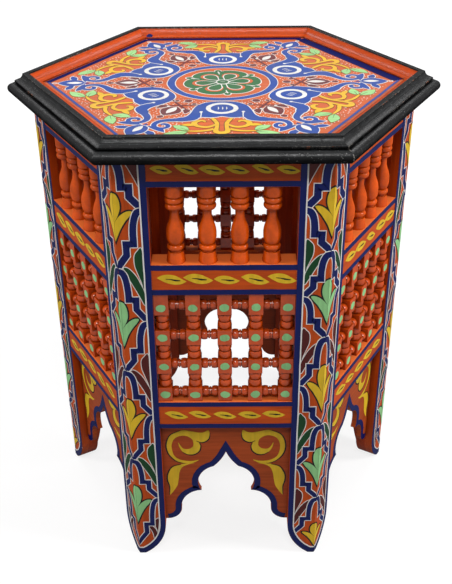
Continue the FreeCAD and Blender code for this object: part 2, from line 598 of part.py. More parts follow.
def make_apron():
    """Apron board with a cusped arch, drilled for its nails."""
    body = new_body("Apron")
    ends = "Sizes.foot_clearance"
    right_half = [("Places.arch_end_half", ends), ("Places.arch_lobe_half", "Places.arch_lobe"),
                  ("Sizes.arch_cusp_width / 2", "Places.arch_cusp"),
                  ("Sizes.arch_tip_width / 2", "Places.arch_swell")]
    left_half = [("-" + across, height) for across, height in right_half]
    corners = [("-Places.apron_half", ends)] + left_half + [("0", "Places.arch_top")] + right_half[::-1]
    corners += [("Places.apron_half", ends), ("Places.apron_half", "Places.apron_top"),
                ("-Places.apron_half", "Places.apron_top")]
    flare = ("right", "Sizes.arch_flare_bulge")
    lobe = ("left", "Sizes.arch_lobe_bulge")
    shoulder = ("left", "Sizes.arch_shoulder_bulge")
    tip = ("right", "Sizes.arch_tip_bulge")
    bulges = {1: flare, 2: lobe, 3: shoulder, 4: tip, 5: tip, 6: shoulder, 7: lobe, 8: flare}
    board = Drawing(body, "XZ_Plane", "Places.leg_inner_apothem").outline(corners, bulges)
    extrude(body, "Pad", board, "Sizes.apron_thickness", reverse=True)
    side_nail_holes(body, ["", "-"], "Sizes.apron_thickness")
    return body


def make_corner_block():
    """Glue block in the fold of the leg on the +X corner, drilled for its screw."""
    body = new_body("CornerBlock")
    plan = Drawing(body, "XY_Plane", "Places.block_bottom").outline(
        [("Places.inner_corner", "0"), ("Places.block_shoulder", "Places.block_half"),
         ("Places.block_back", "Places.block_half"), ("Places.block_back", "-Places.block_half"),
         ("Places.block_shoulder", "-Places.block_half")])
    extrude(body, "Pad", plan, "Sizes.corner_block_height")
    screw = Drawing(body, "XY_Plane", "Places.block_bottom")
    screw.hole("Places.block_shoulder", "0", with_clearance("Sizes.screw_diameter"))
    extrude(body, "Pocket", screw, "Sizes.corner_block_height", reverse=True)
    return body


def make_top_screw():
    """Screw with its head under a corner block and its point in the panel, on the Z axis."""
    body = new_body("TopScrew")
    shank = "Sizes.screw_diameter / 2"
    head = "Sizes.screw_head_diameter / 2"
    tip = "Places.frame_top + Sizes.screw_bite"
    head_bottom = "Places.block_bottom - Sizes.screw_head_height"
    profile = Drawing(body, "XZ_Plane").outline(
        [("0", head_bottom), (head, head_bottom), (head, "Places.block_bottom"),
         (shank, "Places.block_bottom"), (shank, tip + " - Sizes.screw_point"), ("0", tip)])
    turn(body, profile, "V_Axis")
    return body


def make_apron_nail():
    """Nail through a leg post and the front apron into a leg board, on the plane of the Y axis."""
    body = new_body("ApronNail")
    shank = "Sizes.nail_diameter / 2"
    head = "Sizes.nail_head_diameter / 2"
    seat = "-Places.post_inner_apothem"
    tip = "-(Places.leg_inner_apothem + Sizes.nail_bite)"
    head_end = seat + " + Sizes.nail_head_height"
    profile = Drawing(body, "XY_Plane").outline(
        [("0", tip), (shank, tip + " + Sizes.nail_point"), (shank, seat), (head, seat), (head, head_end),
         ("0", head_end)])
    turn(body, profile, "V_Axis")
    return body


def copy_at(piece, x="0", y="0", z="0"):
    """A copy of a piece moved to x, y, z."""
    copy = doc.addObject("App::Link", piece.Name + "Copy")
    copy.LinkedObject = piece
    for axis, expression in (("x", x), ("y", y), ("z", z)):
        if expression != "0":
            copy.setExpression(".Placement.Base." + axis, expression)
    return copy


def copy_turned(piece, step, name=None):
    """A copy of a piece turned about the table's axis by that many sides."""
    copy = doc.addObject("App::Link", name or piece.Name + "Turned")
    copy.LinkedObject = piece
    copy.Placement.Rotation = FreeCAD.Rotation(FreeCAD.Vector(0, 0, 1), step * SIDE_ANGLE)
    return copy


def group(name, copies):
    compound = doc.addObject("Part::Compound", name)
    compound.Links = copies
    return compound


def group_all_round(name, piece):
    return group(name, [copy_turned(piece, step) for step in range(len(SIDES))])


def make_baluster_row(baluster):
    copies = [copy_at(baluster, x=distance, y="-Places.baluster_apothem") for distance in baluster_places()]
    return group("BalusterRow", copies)


def make_lattice(upright, dowel):
    copies = [copy_at(upright, x=column, y="-Places.lattice_apothem") for column in column_places()]
    for column in column_places()[:-1]:
        for row in row_places():
            copies.append(copy_at(dowel, x=column + " + Places.column_pitch / 2",
                                  y="-Places.lattice_apothem", z=row))
    return group("Lattice", copies)


def make_corner_screw(screw):
    return group("CornerScrew", [copy_at(screw, x="Places.block_shoulder")])


def make_side_nails(nail):
    copies = []
    for sign in ("", "-"):
        for height in ("Places.nail_low", "Places.nail_high"):
            copies.append(copy_at(nail, x=sign + "Places.nail_half", z=height))
    return group("SideNails", copies)


def make_side_posts():
    return group("SidePosts", [make_leg_post("LegPostLeft", "-"), make_leg_post("LegPostRight", "")])


baluster_sockets = (baluster_places(), "Places.baluster_apothem", "Sizes.baluster_pin_diameter",
                    "Sizes.baluster_pin_length")
upright_sockets = (column_places(), "Places.lattice_apothem", "Sizes.upright_pin_diameter",
                   "Sizes.upright_pin_length")

# The pieces of one side, drawn on the front
side_pieces = {
    "top_rail": make_rail("TopRail", "top_rail", sockets_below=[baluster_sockets]),
    "middle_rail": make_rail("MiddleRail", "middle_rail", [upright_sockets], [baluster_sockets]),
    "lower_rail": make_rail("LowerRail", "lower_rail", sockets_above=[upright_sockets]),
    "leg_board_left": make_leg_board("LegBoardLeft", "-"),
    "leg_board_right": make_leg_board("LegBoardRight", ""),
    "balusters": make_baluster_row(make_baluster()),
    "lattice": make_lattice(make_upright(), make_cross_dowel()),
    "apron": make_apron(),
}
doc.recompute()

# The finished pieces, each in its place
nodes = [copy_turned(make_top_panel(), 0, "top_panel"),
         group_all_round("top_edge_frame", make_edge_strip()),
         group_all_round("top_rim", make_rim_moulding()),
         group_all_round("leg_posts", make_side_posts()),
         group_all_round("corner_blocks", make_corner_block()),
         group_all_round("top_screws", make_corner_screw(make_top_screw())),
         group_all_round("apron_nails", make_side_nails(make_apron_nail()))]
for step, side in enumerate(SIDES):
    for name, piece in side_pieces.items():
        nodes.append(copy_turned(piece, step, "%s_%s" % (side, name)))
doc.recompute()

for item in doc.Objects:
    if "Invalid" in item.State or "Error" in item.State:
        raise RuntimeError("%s failed: %s" % (item.Name, item.State))
shapes = {node.Label: Part.getShape(node) for node in nodes}
for label, shape in shapes.items():
    if shape.isNull() or not shape.isValid() or not shape.Solids:
        raise RuntimeError("%s has no valid solid" % label)

os.makedirs("parts", exist_ok=True)
for label, shape in shapes.items():
    shape.exportStep("parts/%s.step" % label)
    print("%-28s %2d solids %12.1f mm3" % (label, len(shape.Solids), shape.Volume))
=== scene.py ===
# Painted hexagonal side table: the paint, wear and studio light for its wooden pieces.
# Drawing code counts in millimetres, Blender in metres; +Z is up and the front side faces -Y.
import bpy
import json
import math
import numpy
import random
from mathutils import Matrix, Vector, noise

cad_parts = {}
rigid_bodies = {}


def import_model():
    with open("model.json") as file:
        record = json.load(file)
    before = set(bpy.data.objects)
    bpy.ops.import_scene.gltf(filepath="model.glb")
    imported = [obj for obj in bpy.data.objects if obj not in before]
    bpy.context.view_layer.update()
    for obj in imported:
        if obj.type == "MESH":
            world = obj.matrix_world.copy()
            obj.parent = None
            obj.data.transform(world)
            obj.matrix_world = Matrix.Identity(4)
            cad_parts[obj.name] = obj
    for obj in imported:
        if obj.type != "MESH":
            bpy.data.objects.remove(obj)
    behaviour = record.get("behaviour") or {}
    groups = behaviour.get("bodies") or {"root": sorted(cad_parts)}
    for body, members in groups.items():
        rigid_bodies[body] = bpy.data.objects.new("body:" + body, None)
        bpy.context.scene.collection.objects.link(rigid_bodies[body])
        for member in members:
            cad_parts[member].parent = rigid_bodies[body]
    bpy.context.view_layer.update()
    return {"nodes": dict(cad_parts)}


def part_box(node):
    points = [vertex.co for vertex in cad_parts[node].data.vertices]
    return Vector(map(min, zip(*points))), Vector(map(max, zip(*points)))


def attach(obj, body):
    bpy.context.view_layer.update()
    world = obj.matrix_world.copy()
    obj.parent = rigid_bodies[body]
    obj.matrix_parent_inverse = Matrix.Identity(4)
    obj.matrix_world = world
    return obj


for item in list(bpy.data.objects):
    bpy.data.objects.remove(item)
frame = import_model()
scene = bpy.context.scene
scene.view_settings.view_transform = "Standard"

MM = 0.001
SIDES = ("front", "front_right", "back_right", "back", "back_left", "front_left")
SIDE_ANGLE = 360 / len(SIDES)


def node_box(name):
    """Lowest and highest corner of a wooden piece, in millimetres."""
    low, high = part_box(name)
    return [value / MM for value in low], [value / MM for value in high]


# Places on the wood that the paint follows
leg_low, leg_high = node_box("front_leg_board_right")
OPENING = leg_low[0]
FACE = -leg_low[1]
FOLD = leg_high[0]
LEG_TOP = leg_high[2]
APRON_FACE = -node_box("front_apron")[0][1]
lattice_low, lattice_high = node_box("front_lattice")
LATTICE_FACE = -lattice_low[1]
PANEL_FACE = node_box("top_panel")[1][2]
LATTICE_FLOOR = node_box("front_lower_rail")[1][2]
LATTICE_CEILING = node_box("front_middle_rail")[0][2]
# Sizes of the wood that its boxes don't tell: curved foot, lattice blocks, and the black of the rim
FOOT_WIDTH = 25
FOOT_HEIGHT = 44
FOOT_BULGE = 6.5
BLOCK_WIDTH = 14.5
BLOCK_HEIGHT = 17.5
LATTICE_STUB = 7
RIM_COVE_EDGE = 176.3
# Where the brush slipped onto the cove, and the corner of the nose where the paint is worn through, in metres
PAINT_SLIP = (-0.0905, 0.1685, 0.5125)
WORN_CORNER = (0.1135, -0.1965, 0.5035)

# Paint: height of a layer, depth in the wood, and tiny steps that keep shapes of one layer apart
LEVEL = 0.09
SUNK = -0.05
LIFT_STEP = 0.001
LIFT_STEPS = 10
# How far the brush strays, over what length, and the seed that makes it stray alike each time
WOBBLE = 0.3
WOBBLE_LENGTH = 13
WOBBLE_SEED = 5
noise.seed_set(WOBBLE_SEED)
# How far the corners of a line are let run out
SHARPEST_MITRE = 0.45
# How far the painted figure of the top lies from the middle of the panel
TOP_SHIFT = (-1, -3)


# Flat drawing

def curve(points, closed=False, steps=6):
    """Points of a smooth line through the given points."""
    if closed:
        around = [points[-1]] + list(points) + list(points[:2])
    else:
        around = [points[0]] + list(points) + [points[-1]]
    line = []
    for before, start, end, after in zip(around, around[1:], around[2:], around[3:]):
        for step in range(steps):
            t = step / steps
            line.append(tuple(
                0.5 * (2 * b + (c - a) * t + (2 * a - 5 * b + 4 * c - d) * t * t
                       + (3 * b - a - 3 * c + d) * t ** 3)
                for a, b, c, d in zip(before, start, end, after)))
    if not closed:
        line.append(points[-1])
    return line


def smooth_outline(points):
    """Points of a smooth closed line through the given points."""
    return curve(points, closed=True, steps=4)


def arc(start, end, bulge, steps=8):
    """Points of an arc that swells to the left of its way by bulge, or to the right by a negative one."""
    start, end = Vector(start), Vector(end)
    way = end - start
    left = Vector((-way.y, way.x)).normalized()
    half = way.length / 2
    radius = (half * half + bulge * bulge) / (2 * bulge)
    centre = (start + end) / 2 + left * (bulge - radius)
    first = start - centre
    sweep = -2 * math.copysign(math.asin(min(1, half / abs(radius))), bulge)
    return [tuple(centre + Matrix.Rotation(sweep * step / steps, 2) @ first) for step in range(steps + 1)]


def polar(angle, radius):
    angle = math.radians(angle)
    return radius * math.cos(angle), radius * math.sin(angle)


def ellipse(centre, across, up, turn=0, count=20):
    tilt = Matrix.Rotation(math.radians(turn), 2)
    ring = [polar(360 * index / count, 1) for index in range(count)]
    return [tuple(Vector(centre) + tilt @ Vector((across * a, up * b))) for a, b in ring]


def leaf(base, tip, width, bend=0.0, fullest=0.5):
    """Outline of a pointed leaf; bend moves its middle sideways, fullest says where it is widest."""
    base, tip = Vector(base), Vector(tip)
    way = tip - base
    left = Vector((-way.y, way.x)).normalized()
    # Share of the way, of the bend and of the width at the places that shape each edge
    spots = ((fullest * 0.45, 0.6, 0.36), (fullest, 1, 0.5), (1 - (1 - fullest) * 0.4, 0.5, 0.3))

    def edge(hand):
        return [tuple(base + way * share + left * (bend * bent + hand * width * half))
                for share, bent, half in spots]
    one = curve([tuple(base)] + edge(1) + [tuple(tip)], steps=4)
    other = curve([tuple(tip)] + edge(-1)[::-1] + [tuple(base)], steps=4)
    return one[:-1] + other[:-1]


def beside(line, distance, closed=False):
    """The line moved to its left, by one distance or by one for each point."""
    distances = distance if isinstance(distance, list) else [distance] * len(line)
    moved = []
    for index, here in enumerate(line):
        before = line[index - 1] if index or closed else here
        after = line[(index + 1) % len(line)] if index + 1 < len(line) or closed else here
        arriving = (Vector(here) - Vector(before)).normalized()
        leaving = (Vector(after) - Vector(here)).normalized()
        way = arriving + leaving
        if way.length < 0.01:
            way = arriving
        normal = Vector((-way.y, way.x)).normalized()
        straight = leaving if arriving.length == 0 else arriving
        mitre = max(SHARPEST_MITRE, normal.dot(Vector((-straight.y, straight.x))))
        moved.append(tuple(Vector(here) + normal * distances[index] / mitre))
    return moved


def signed_area(outline):
    """Twice the area of an outline, above zero if it runs anticlockwise."""
    return sum(a[0] * b[1] - b[0] * a[1] for a, b in zip(outline, outline[1:] + outline[:1]))


def widened(outline, amount):
    """A closed outline grown by amount on every side."""
    return beside(outline, -amount if signed_area(outline) > 0 else amount, closed=True)


def mirrored(points):
    return [(-a, b) for a, b in points]


def flipped(points):
    return [(a, -b) for a, b in points]


def both_ways(points):
    """A half outline that starts and ends on its line, closed by its mirror image."""
    return list(points) + [point for point in flipped(points[::-1]) if point[1] != 0]


def spread(reach, steps=8):
    """Values from -reach to reach, a fixed step apart."""
    return [reach * step / steps for step in range(-steps, steps + 1)]


def inside(point, outline):
    """Whether a point lies within a closed outline."""
    x, y = point
    hit = False
    for (ax, ay), (bx, by) in zip(outline, outline[1:] + outline[:1]):
        if (ay > y) != (by > y) and x < ax + (y - ay) * (bx - ax) / (by - ay):
            hit = not hit
    return hit


def along(widths, count):
    """Widths spread evenly over that many points."""
    if not isinstance(widths, (list, tuple)):
        return [widths] * count
    last = len(widths) - 1
    return list(numpy.interp(numpy.linspace(0, last, count), range(last + 1), widths))


# Surfaces that carry paint

def by_hand(a, b, seed, amount):
    """A place moved a little, as an unsteady brush would."""
    drift = noise.noise_vector(Vector((a / WOBBLE_LENGTH, b / WOBBLE_LENGTH, seed * 3.7)))
    return a + drift.x * amount, b + drift.y * amount


def on_side(step, apothem, amount=WOBBLE):
    """Places on an upright plane of a side, as distance from its middle and height."""
    turn = Matrix.Rotation(math.radians(SIDE_ANGLE * step), 3, "Z")

    def place(across, height, lift):
        across, height = by_hand(across, height, step + 1, amount)
        across = max(-FOLD, min(FOLD, across))
        return turn @ Vector((across, -(apothem + lift), height)) * MM
    return place


def on_top(angle, amount=WOBBLE, shift=TOP_SHIFT):
    """Places on the panel, along a line from its middle at that angle and to the left of it."""
    turn = Matrix.Rotation(math.radians(angle), 3, "Z")

    def place(outward, left, lift):
        outward, left = by_hand(outward, left, angle / 10 + 20, amount)
        return (turn @ Vector((outward, left, PANEL_FACE + lift)) + Vector((*shift, 0))) * MM
    return place


class Coat:
    """One colour of paint on one part of the table: low closed shapes gathered into one mesh."""

    def __init__(self, name, colour):
        self.name = name
        self.colour = colour
        self.points = []
        self.faces = []
        self.shapes = 0

    def lift(self, level):
        self.shapes += 1
        return LEVEL * level + LIFT_STEP * (self.shapes % LIFT_STEPS)

    def fill(self, place, outline, level):
        """Paint within a closed outline."""
        if signed_area(outline) < 0:
            outline = outline[::-1]
        start = len(self.points)
        count = len(outline)
        for lift in (self.lift(level), SUNK):
            self.points += [place(a, b, lift) for a, b in outline]
        self.faces.append(tuple(range(start, start + count)))
        self.faces.append(tuple(range(start + 2 * count - 1, start + count - 1, -1)))
        for index in range(count):
            after = (index + 1) % count
            self.faces.append((start + after, start + index, start + count + index, start + count + after))

    def stroke(self, place, line, width, level, closed=False):
        """A painted line with one width, or with widths spread evenly along it."""
        halves = [value / 2 for value in along(width, len(line))]
        left = beside(line, halves, closed)
        right = beside(line, [-half for half in halves], closed)
        start = len(self.points)
        count = len(line)
        lift = self.lift(level)
        for edge, height in ((left, lift), (right, lift), (right, SUNK), (left, SUNK)):
            self.points += [place(a, b, height) for a, b in edge]
        sections = [[start + row * count + index for row in range(4)] for index in range(count)]
        pairs = list(zip(sections, sections[1:]))
        if closed:
            pairs.append((sections[-1], sections[0]))
        else:
            self.faces += [tuple(sections[0][::-1]), tuple(sections[-1])]
        for here, after in pairs:
            for row in range(4):
                other = (row + 1) % 4
                self.faces.append((here[other], after[other], after[row], here[row]))

    def dry(self, material, slot):
        """The finished piece."""
        mesh = bpy.data.meshes.new(self.name)
        mesh.from_pydata(self.points, [], self.faces)
        mesh.materials.append(material)
        piece = bpy.data.objects.new(self.name, mesh)
        scene.collection.objects.link(piece)
        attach(piece, "root")


coats = {}


def coat(part, colour):
    name = "%s_%s" % (part, colour)
    if name not in coats:
        coats[name] = Coat(name, colour)
    return coats[name]


def outlined(part, place, outline, colour, level=2, edge_colour="white", edge=0.9):
    """A filled shape over a slightly larger one that shows as its outline."""
    coat(part, edge_colour).fill(place, widened(outline, edge), level - 1)
    coat(part, colour).fill(place, outline, level)


def outlined_stroke(part, place, line, width, colour, level=2, edge=0.9, rise=1.0, closed=False):
    """A painted line over a slightly wider white one; rise is how far it stands over that."""
    edges = [value + 2 * edge for value in along(width, len(line))]
    coat(part, "white").stroke(place, line, edges, level - rise, closed)
    coat(part, colour).stroke(place, line, width, level, closed)


# Legs: a navy strip along the inner edge, and a stepped ribbon between tulips and palmettes.
# Distances across a leg are counted from its fold.

STRIP_WIDTH = 5.9
FOOT_STRIP_WIDTH = 7.6
STRIP_MARGIN = 0.15
FOOT_MARGIN = 0.5
STRIP_LEVEL = 5
LEG_LINE_WIDTH = 1.35
LEG_LINE_LEVEL = 6
EDGE_PITCH = 12
FOOT_STEPS = 12
RIBBON_WIDTHS = (5.2, 7.0)
RIBBON_REACH = 24.8
RIBBON_LEVEL = 2
RIBBON_OVERLAP = 0.3
# Share of the way across and down that a ribbon has covered at the points of its arc and of its steps
RIBBON_ARC = ((0, 0.035), (0.13, 0.055), (0.23, 0.13), (0.3, 0.26), (0.33, 0.42), (0.33, 0.57))
RIBBON_STEPS = ((0.62, 0.57), (0.62, 0.76), (1.1, 1.02))
TULIP_HEIGHT = 52.5
TULIP_MIDDLE = ((0, 52.5), (3.2, 50.5), (5.7, 44), (6, 36), (3.8, 28.5), (0, 21))
TULIP_SIDE = (
    (0, 21), (4.2, 27), (9.2, 31.4), (13.6, 33.2), (17, 32.4), (14.2, 27.4), (10.4, 22.5), (5.2, 13.5),
    (1.5, 4), (0, 0),
)
PALMETTE_HEIGHT = 61
PALMETTE_UPRIGHT = ((24.6, 61), (20, 60), (17.2, 54.5), (17.2, 45), (19.4, 36), (22.8, 25.5), (24.6, 20))
PALMETTE_LEANING = (
    (24.6, 0), (24.6, 14), (21, 25), (16.6, 34), (11, 41), (6.6, 42.4), (6.4, 38.5), (10.8, 30), (16, 19),
    (20.6, 8),
)
# Half palmette cut off by the top of the leg, measured down from it
PALMETTE_CROWN = ((24.6, -29), (21, -20), (16, -10), (10.5, -1), (24.6, -1))
# For each of two kinds of leg: heights where the ribbon meets the fold and the white line, from the top;
# where the tulips stand and how tall they are, as shares of the space; and a small flower near the floor
LEG_RHYTHMS = (
    {"fold": (498, 383, 262, 143, 16), "line": (447, 323, 205, 87),
     "tulips": (0.26, 0.44), "palmette": (24, 30)},
    {"fold": (497, 400, 303, 190, 86), "line": (446, 350, 242, 134, 30),
     "tulips": (0.18, 0.52), "tulip": (11, 35)},
)
TULIP_COLOURS = ("yellow", "light_green")
PALMETTE_COLOURS = ("dark_green", "maroon")
PALMETTE_SHARE = (0.16, 0.49)
SMALLEST_WIDTH = 0.2
STRAIGHT_STEPS = 4


def leg_edge(strip_share, offset=0.0):
    """A line along the inner edge and foot of the right leg board, a share of the strip and an offset inside.

    Also returns the width of the strip at each of its points, which grows along the foot.
    """
    straight = [(OPENING, height) for height in range(int(LEG_TOP) - 1, FOOT_HEIGHT, -EDGE_PITCH)]
    foot = arc((OPENING, FOOT_HEIGHT), (OPENING + FOOT_WIDTH, 0), -FOOT_BULGE, FOOT_STEPS)
    edge = straight + foot + [(FOLD, 0)]
    widths = []
    insets = []
    for index in range(len(edge)):
        turned = min(1, max(0, index - len(straight)) / FOOT_STEPS)
        width = STRIP_WIDTH + (FOOT_STRIP_WIDTH - STRIP_WIDTH) * turned
        margin = STRIP_MARGIN + (FOOT_MARGIN - STRIP_MARGIN) * turned
        widths.append(width)
        insets.append(margin + width * strip_share + offset)
    return beside(edge, insets), widths


def foot_reach(height):
    """Distance from the fold to the white line at that height."""
    line = leg_edge(1, LEG_LINE_WIDTH)[0]
    for (across, high), (next_across, low) in zip(line, line[1:]):
        if high >= height >= low and high > low:
            return FOLD - across - (next_across - across) * (high - height) / (high - low)
    return 0 if height < line[-1][1] else RIBBON_REACH


def on_leg(points, hand):
    """Points given from the fold, on the right (1) or left (-1) leg board of a side."""
    return [(hand * (FOLD - across), height) for across, height in points]


def ribbon_line(start, end):
    def place(share):
        return (start[0] + (end[0] - start[0]) * share[0], start[1] + (end[1] - start[1]) * share[1])
    line = curve([place(share) for share in RIBBON_ARC], steps=2)
    for share in RIBBON_STEPS:
        corner = Vector(line[-1])
        for step in range(1, STRAIGHT_STEPS + 1):
            line.append(tuple(corner.lerp(Vector(place(share)), step / STRAIGHT_STEPS)))
    return line


def fitted(shape, low, height, shape_height, on_line=False):
    """A shape moved up to low and stretched to that height, grown from the fold or from the white line."""
    stretch = height / shape_height
    narrowing = min(1, stretch + SMALLEST_WIDTH)
    points = []
    for across, up in shape:
        level = min(LEG_TOP - 1, low + up * stretch)
        reach = foot_reach(level)
        from_line = max(0, reach - (RIBBON_REACH - across) * narrowing)
        points.append((from_line if on_line else min(across * narrowing, reach), level))
    return points


def paint_tulip(place, hand, bottom, height, colour):
    for petal in (TULIP_SIDE, TULIP_MIDDLE):
        shape = curve(fitted(petal, bottom, height, TULIP_HEIGHT), steps=4)
        outlined("legs", place, on_leg(shape, hand), colour, edge_colour="black", edge=1.6)


def paint_palmette(place, hand, bottom, height, colour):
    for petal in (PALMETTE_LEANING, PALMETTE_UPRIGHT):
        shape = smooth_outline(fitted(petal, bottom, height, PALMETTE_HEIGHT, True))
        outlined("legs", place, on_leg(shape, hand), colour, edge=0.8)


def flowers(heights, share, tall, colours):
    """Bottom, height and colour of a flower in each space between heights."""
    for index, (high, low) in enumerate(zip(heights, heights[1:])):
        yield low + (high - low) * share, (high - low) * tall, colours[index % 2]


def paint_leg(step, hand, rhythm):
    place = on_side(step, FACE)
    fold_heights, line_heights = rhythm["fold"], rhythm["line"]
    strip, strip_widths = leg_edge(0.5)
    white = leg_edge(1, LEG_LINE_WIDTH / 2)[0]
    coat("legs", "navy").stroke(place, [(hand * a, b) for a, b in strip], strip_widths, STRIP_LEVEL)
    coat("legs", "white").stroke(place, [(hand * a, b) for a, b in white], LEG_LINE_WIDTH, LEG_LINE_LEVEL)

    stops = []
    for index, height in enumerate(fold_heights):
        stops.append((0, height))
        if index < len(line_heights):
            stops.append((RIBBON_REACH, line_heights[index]))
    narrow, wide = RIBBON_WIDTHS
    for index, (start, end) in enumerate(zip(stops, stops[1:])):
        width = narrow + (wide - narrow) * end[1] / LEG_TOP
        line = on_leg(ribbon_line(start, end), hand)
        level = RIBBON_LEVEL + RIBBON_OVERLAP * index
        outlined_stroke("legs", place, line, width, "navy", level, edge=0.85, rise=RIBBON_OVERLAP / 2)

    for flower in flowers(fold_heights, *rhythm["tulips"], TULIP_COLOURS):
        paint_tulip(place, hand, *flower)
    if "tulip" in rhythm:
        paint_tulip(place, hand, *rhythm["tulip"], TULIP_COLOURS[0])
    crown = [(across, LEG_TOP + up) for across, up in PALMETTE_CROWN]
    outlined("legs", place, on_leg(crown, hand), "maroon", edge=0.8)
    for flower in flowers(line_heights, *PALMETTE_SHARE, PALMETTE_COLOURS):
        paint_palmette(place, hand, *flower)
    if "palmette" in rhythm:
        paint_palmette(place, hand, *rhythm["palmette"], PALMETTE_COLOURS[1])


# Rails: navy bands along both edges and a chain of yellow leaves

BAND_WIDTH = 5.6
BAND_MARGIN = 0.3
BAND_OVERLAP = 1.5
# Upper and lower edge of a leaf, both from its left tip to its right tip
LEAF_ABOVE = ((-13.4, 1.6), (-9, 4.2), (-3.4, 5.2), (3, 4.2), (8, 1.5), (13.4, -1.8))
LEAF_BELOW = ((-13.4, 1.6), (-8.4, -1.6), (-3.2, -4.2), (3, -5.2), (8.8, -4.4), (13.4, -1.8))
LEAF_VEIN = ((-5.5, 0.6), (-1, 0.2), (3, -0.6), (7.6, -0.9))
LEAF_VEIN_WIDTHS = [0.5, 1.0, 1.9, 0.9]
# For each rail: where its leaves stand, how far above its middle, their turn in degrees and their size
RAIL_LEAVES = {
    "top": ((-56, -33, -10, 13, 36, 59), 2.5, -4, 0.84),
    "middle": ((-50.5, -25, 2.5, 30, 56), 0.8, 0, 1.0),
    "lower": ((-52, -27, -0.5, 25.5, 51), 0.4, 0, 0.98),
}
# How far leaves stray up or down, differ in size, and lean, in degrees
LEAF_STRAY = 0.7
LEAF_UNEVENNESS = 0.08
LEAF_LEAN = 5


def paint_rail(step, rail):
    low, high = node_box("front_%s_rail" % rail)
    place = on_side(step, FACE)
    inset = BAND_MARGIN + BAND_WIDTH / 2
    for level in (low[2] + inset, high[2] - inset):
        band = [(across, level) for across in spread(OPENING + BAND_OVERLAP)]
        coat("rails", "navy").stroke(place, band, BAND_WIDTH, 2)
    centres, rise, turn, size = RAIL_LEAVES[rail]
    for index, centre in enumerate(centres):
        stray = LEAF_STRAY * math.sin(index * 2 + step)
        middle = Vector((centre, (low[2] + high[2]) / 2 + rise + stray))
        uneven_size = size * (1 + LEAF_UNEVENNESS * math.sin(centre * 1.7 + step))
        lean = turn + LEAF_LEAN * math.sin(centre + step * 2.1)
        tilt = Matrix.Rotation(math.radians(lean), 2) * uneven_size
        above, below, vein = ([tuple(tilt @ Vector(point) + middle) for point in line]
                              for line in (LEAF_ABOVE, LEAF_BELOW, LEAF_VEIN))
        outline = curve(above, steps=4)[:-1] + curve(below[::-1], steps=4)[:-1]
        coat("rails", "yellow").fill(place, outline, 2)
        coat("rails", "black").stroke(place, curve(vein), LEAF_VEIN_WIDTHS, 3)


# Lattice: a green dot on the face of every block

LATTICE_COLUMNS = 5
LATTICE_ROWS = 4
DOT_ACROSS = 5.0
DOT_UP = 4.2
DOT_POINTS = 10
DOT_ROUGHNESS = 0.16
DOT_WOBBLE = 0.9


def paint_lattice(step):
    place = on_side(step, LATTICE_FACE, DOT_WOBBLE)
    column_reach = lattice_high[0] - BLOCK_WIDTH / 2
    row_low = LATTICE_FLOOR + BLOCK_HEIGHT / 2
    row_high = LATTICE_CEILING - LATTICE_STUB - BLOCK_HEIGHT / 2
    for column in range(LATTICE_COLUMNS):
        across = column_reach * (2 * column / (LATTICE_COLUMNS - 1) - 1)
        for row in range(LATTICE_ROWS):
            height = row_low + (row_high - row_low) * row / (LATTICE_ROWS - 1)
            outline = []
            for index in range(DOT_POINTS):
                angle = math.tau * index / DOT_POINTS
                wave = noise.noise(Vector((across + index, height + step * 31, index * 1.7)))
                rough = 1 + DOT_ROUGHNESS * wave
                outline.append((across + DOT_ACROSS * rough * math.cos(angle),
                                height + DOT_UP * rough * math.sin(angle)))
            coat("lattice", "light_green").fill(place, curve(outline, closed=True, steps=3), 2)


# Aprons: a navy band along the arch and a yellow scroll each side of it

ARCH_LEFT = ((-66.8, 46.5), (-51, 63), (-28, 90), (-14, 125.5), (0, 146.5))
ARCH_BULGES = (-4.6, 7.8, 9.5, -1.4)
ARCH_BAND = 6.8
ARCH_MARGIN = 0.4
# Scroll on the left half, as distance from the middle of the side and height
SCROLL = (
    (19, 177.3), (23.8, 174.4), (29.4, 173.8), (39, 176), (46, 177.3), (53, 175.2), (59.9, 171), (64.1, 162),
    (64.8, 151), (61.3, 141), (54.4, 133.5), (46, 130.3), (36.3, 131.1), (30, 135), (36.3, 133.6),
    (42, 133.4), (50.2, 135.2), (56.5, 140.4), (59.2, 149.5), (59.2, 157.8), (55.8, 166), (48.8, 169.6),
    (42, 168.9), (37, 164.8), (35.6, 160), (36.3, 154.3), (40.5, 151), (46, 151), (49.5, 155), (52, 160),
    (51, 153.6), (47.4, 146.7), (42, 143.2), (35, 143.2), (29.4, 148), (28, 155), (29.2, 159.5),
    (32.2, 162.4), (26.6, 160.3), (21.7, 162), (18.5, 166), (17.6, 173),
)
SCROLL_TAIL = (
    (46, 129.6), (53, 128), (59.9, 124.5), (64.8, 115), (65.5, 105), (63.4, 95.3), (64.1, 83), (56, 95.3),
    (53.7, 105), (52.3, 116), (48.8, 124.3), (42, 128.6), (35, 130.6),
)
SCROLL_STROKES = (
    ((50, 176.6), (59.9, 171.4), (64.6, 162), (65.3, 151), (61.8, 140.8), (54.6, 133), (46, 129.9)),
    ((32.2, 162.4), (26.6, 159.9), (21.5, 161.6), (18, 166), (17.1, 173)),
    ((29, 159.3), (27.6, 155), (29, 147.7), (34.8, 142.8), (42, 142.8), (47.6, 146.4)),
    ((50, 128.7), (59.9, 125), (65.2, 115), (66, 105), (63.9, 95.3), (64.4, 83)),
)


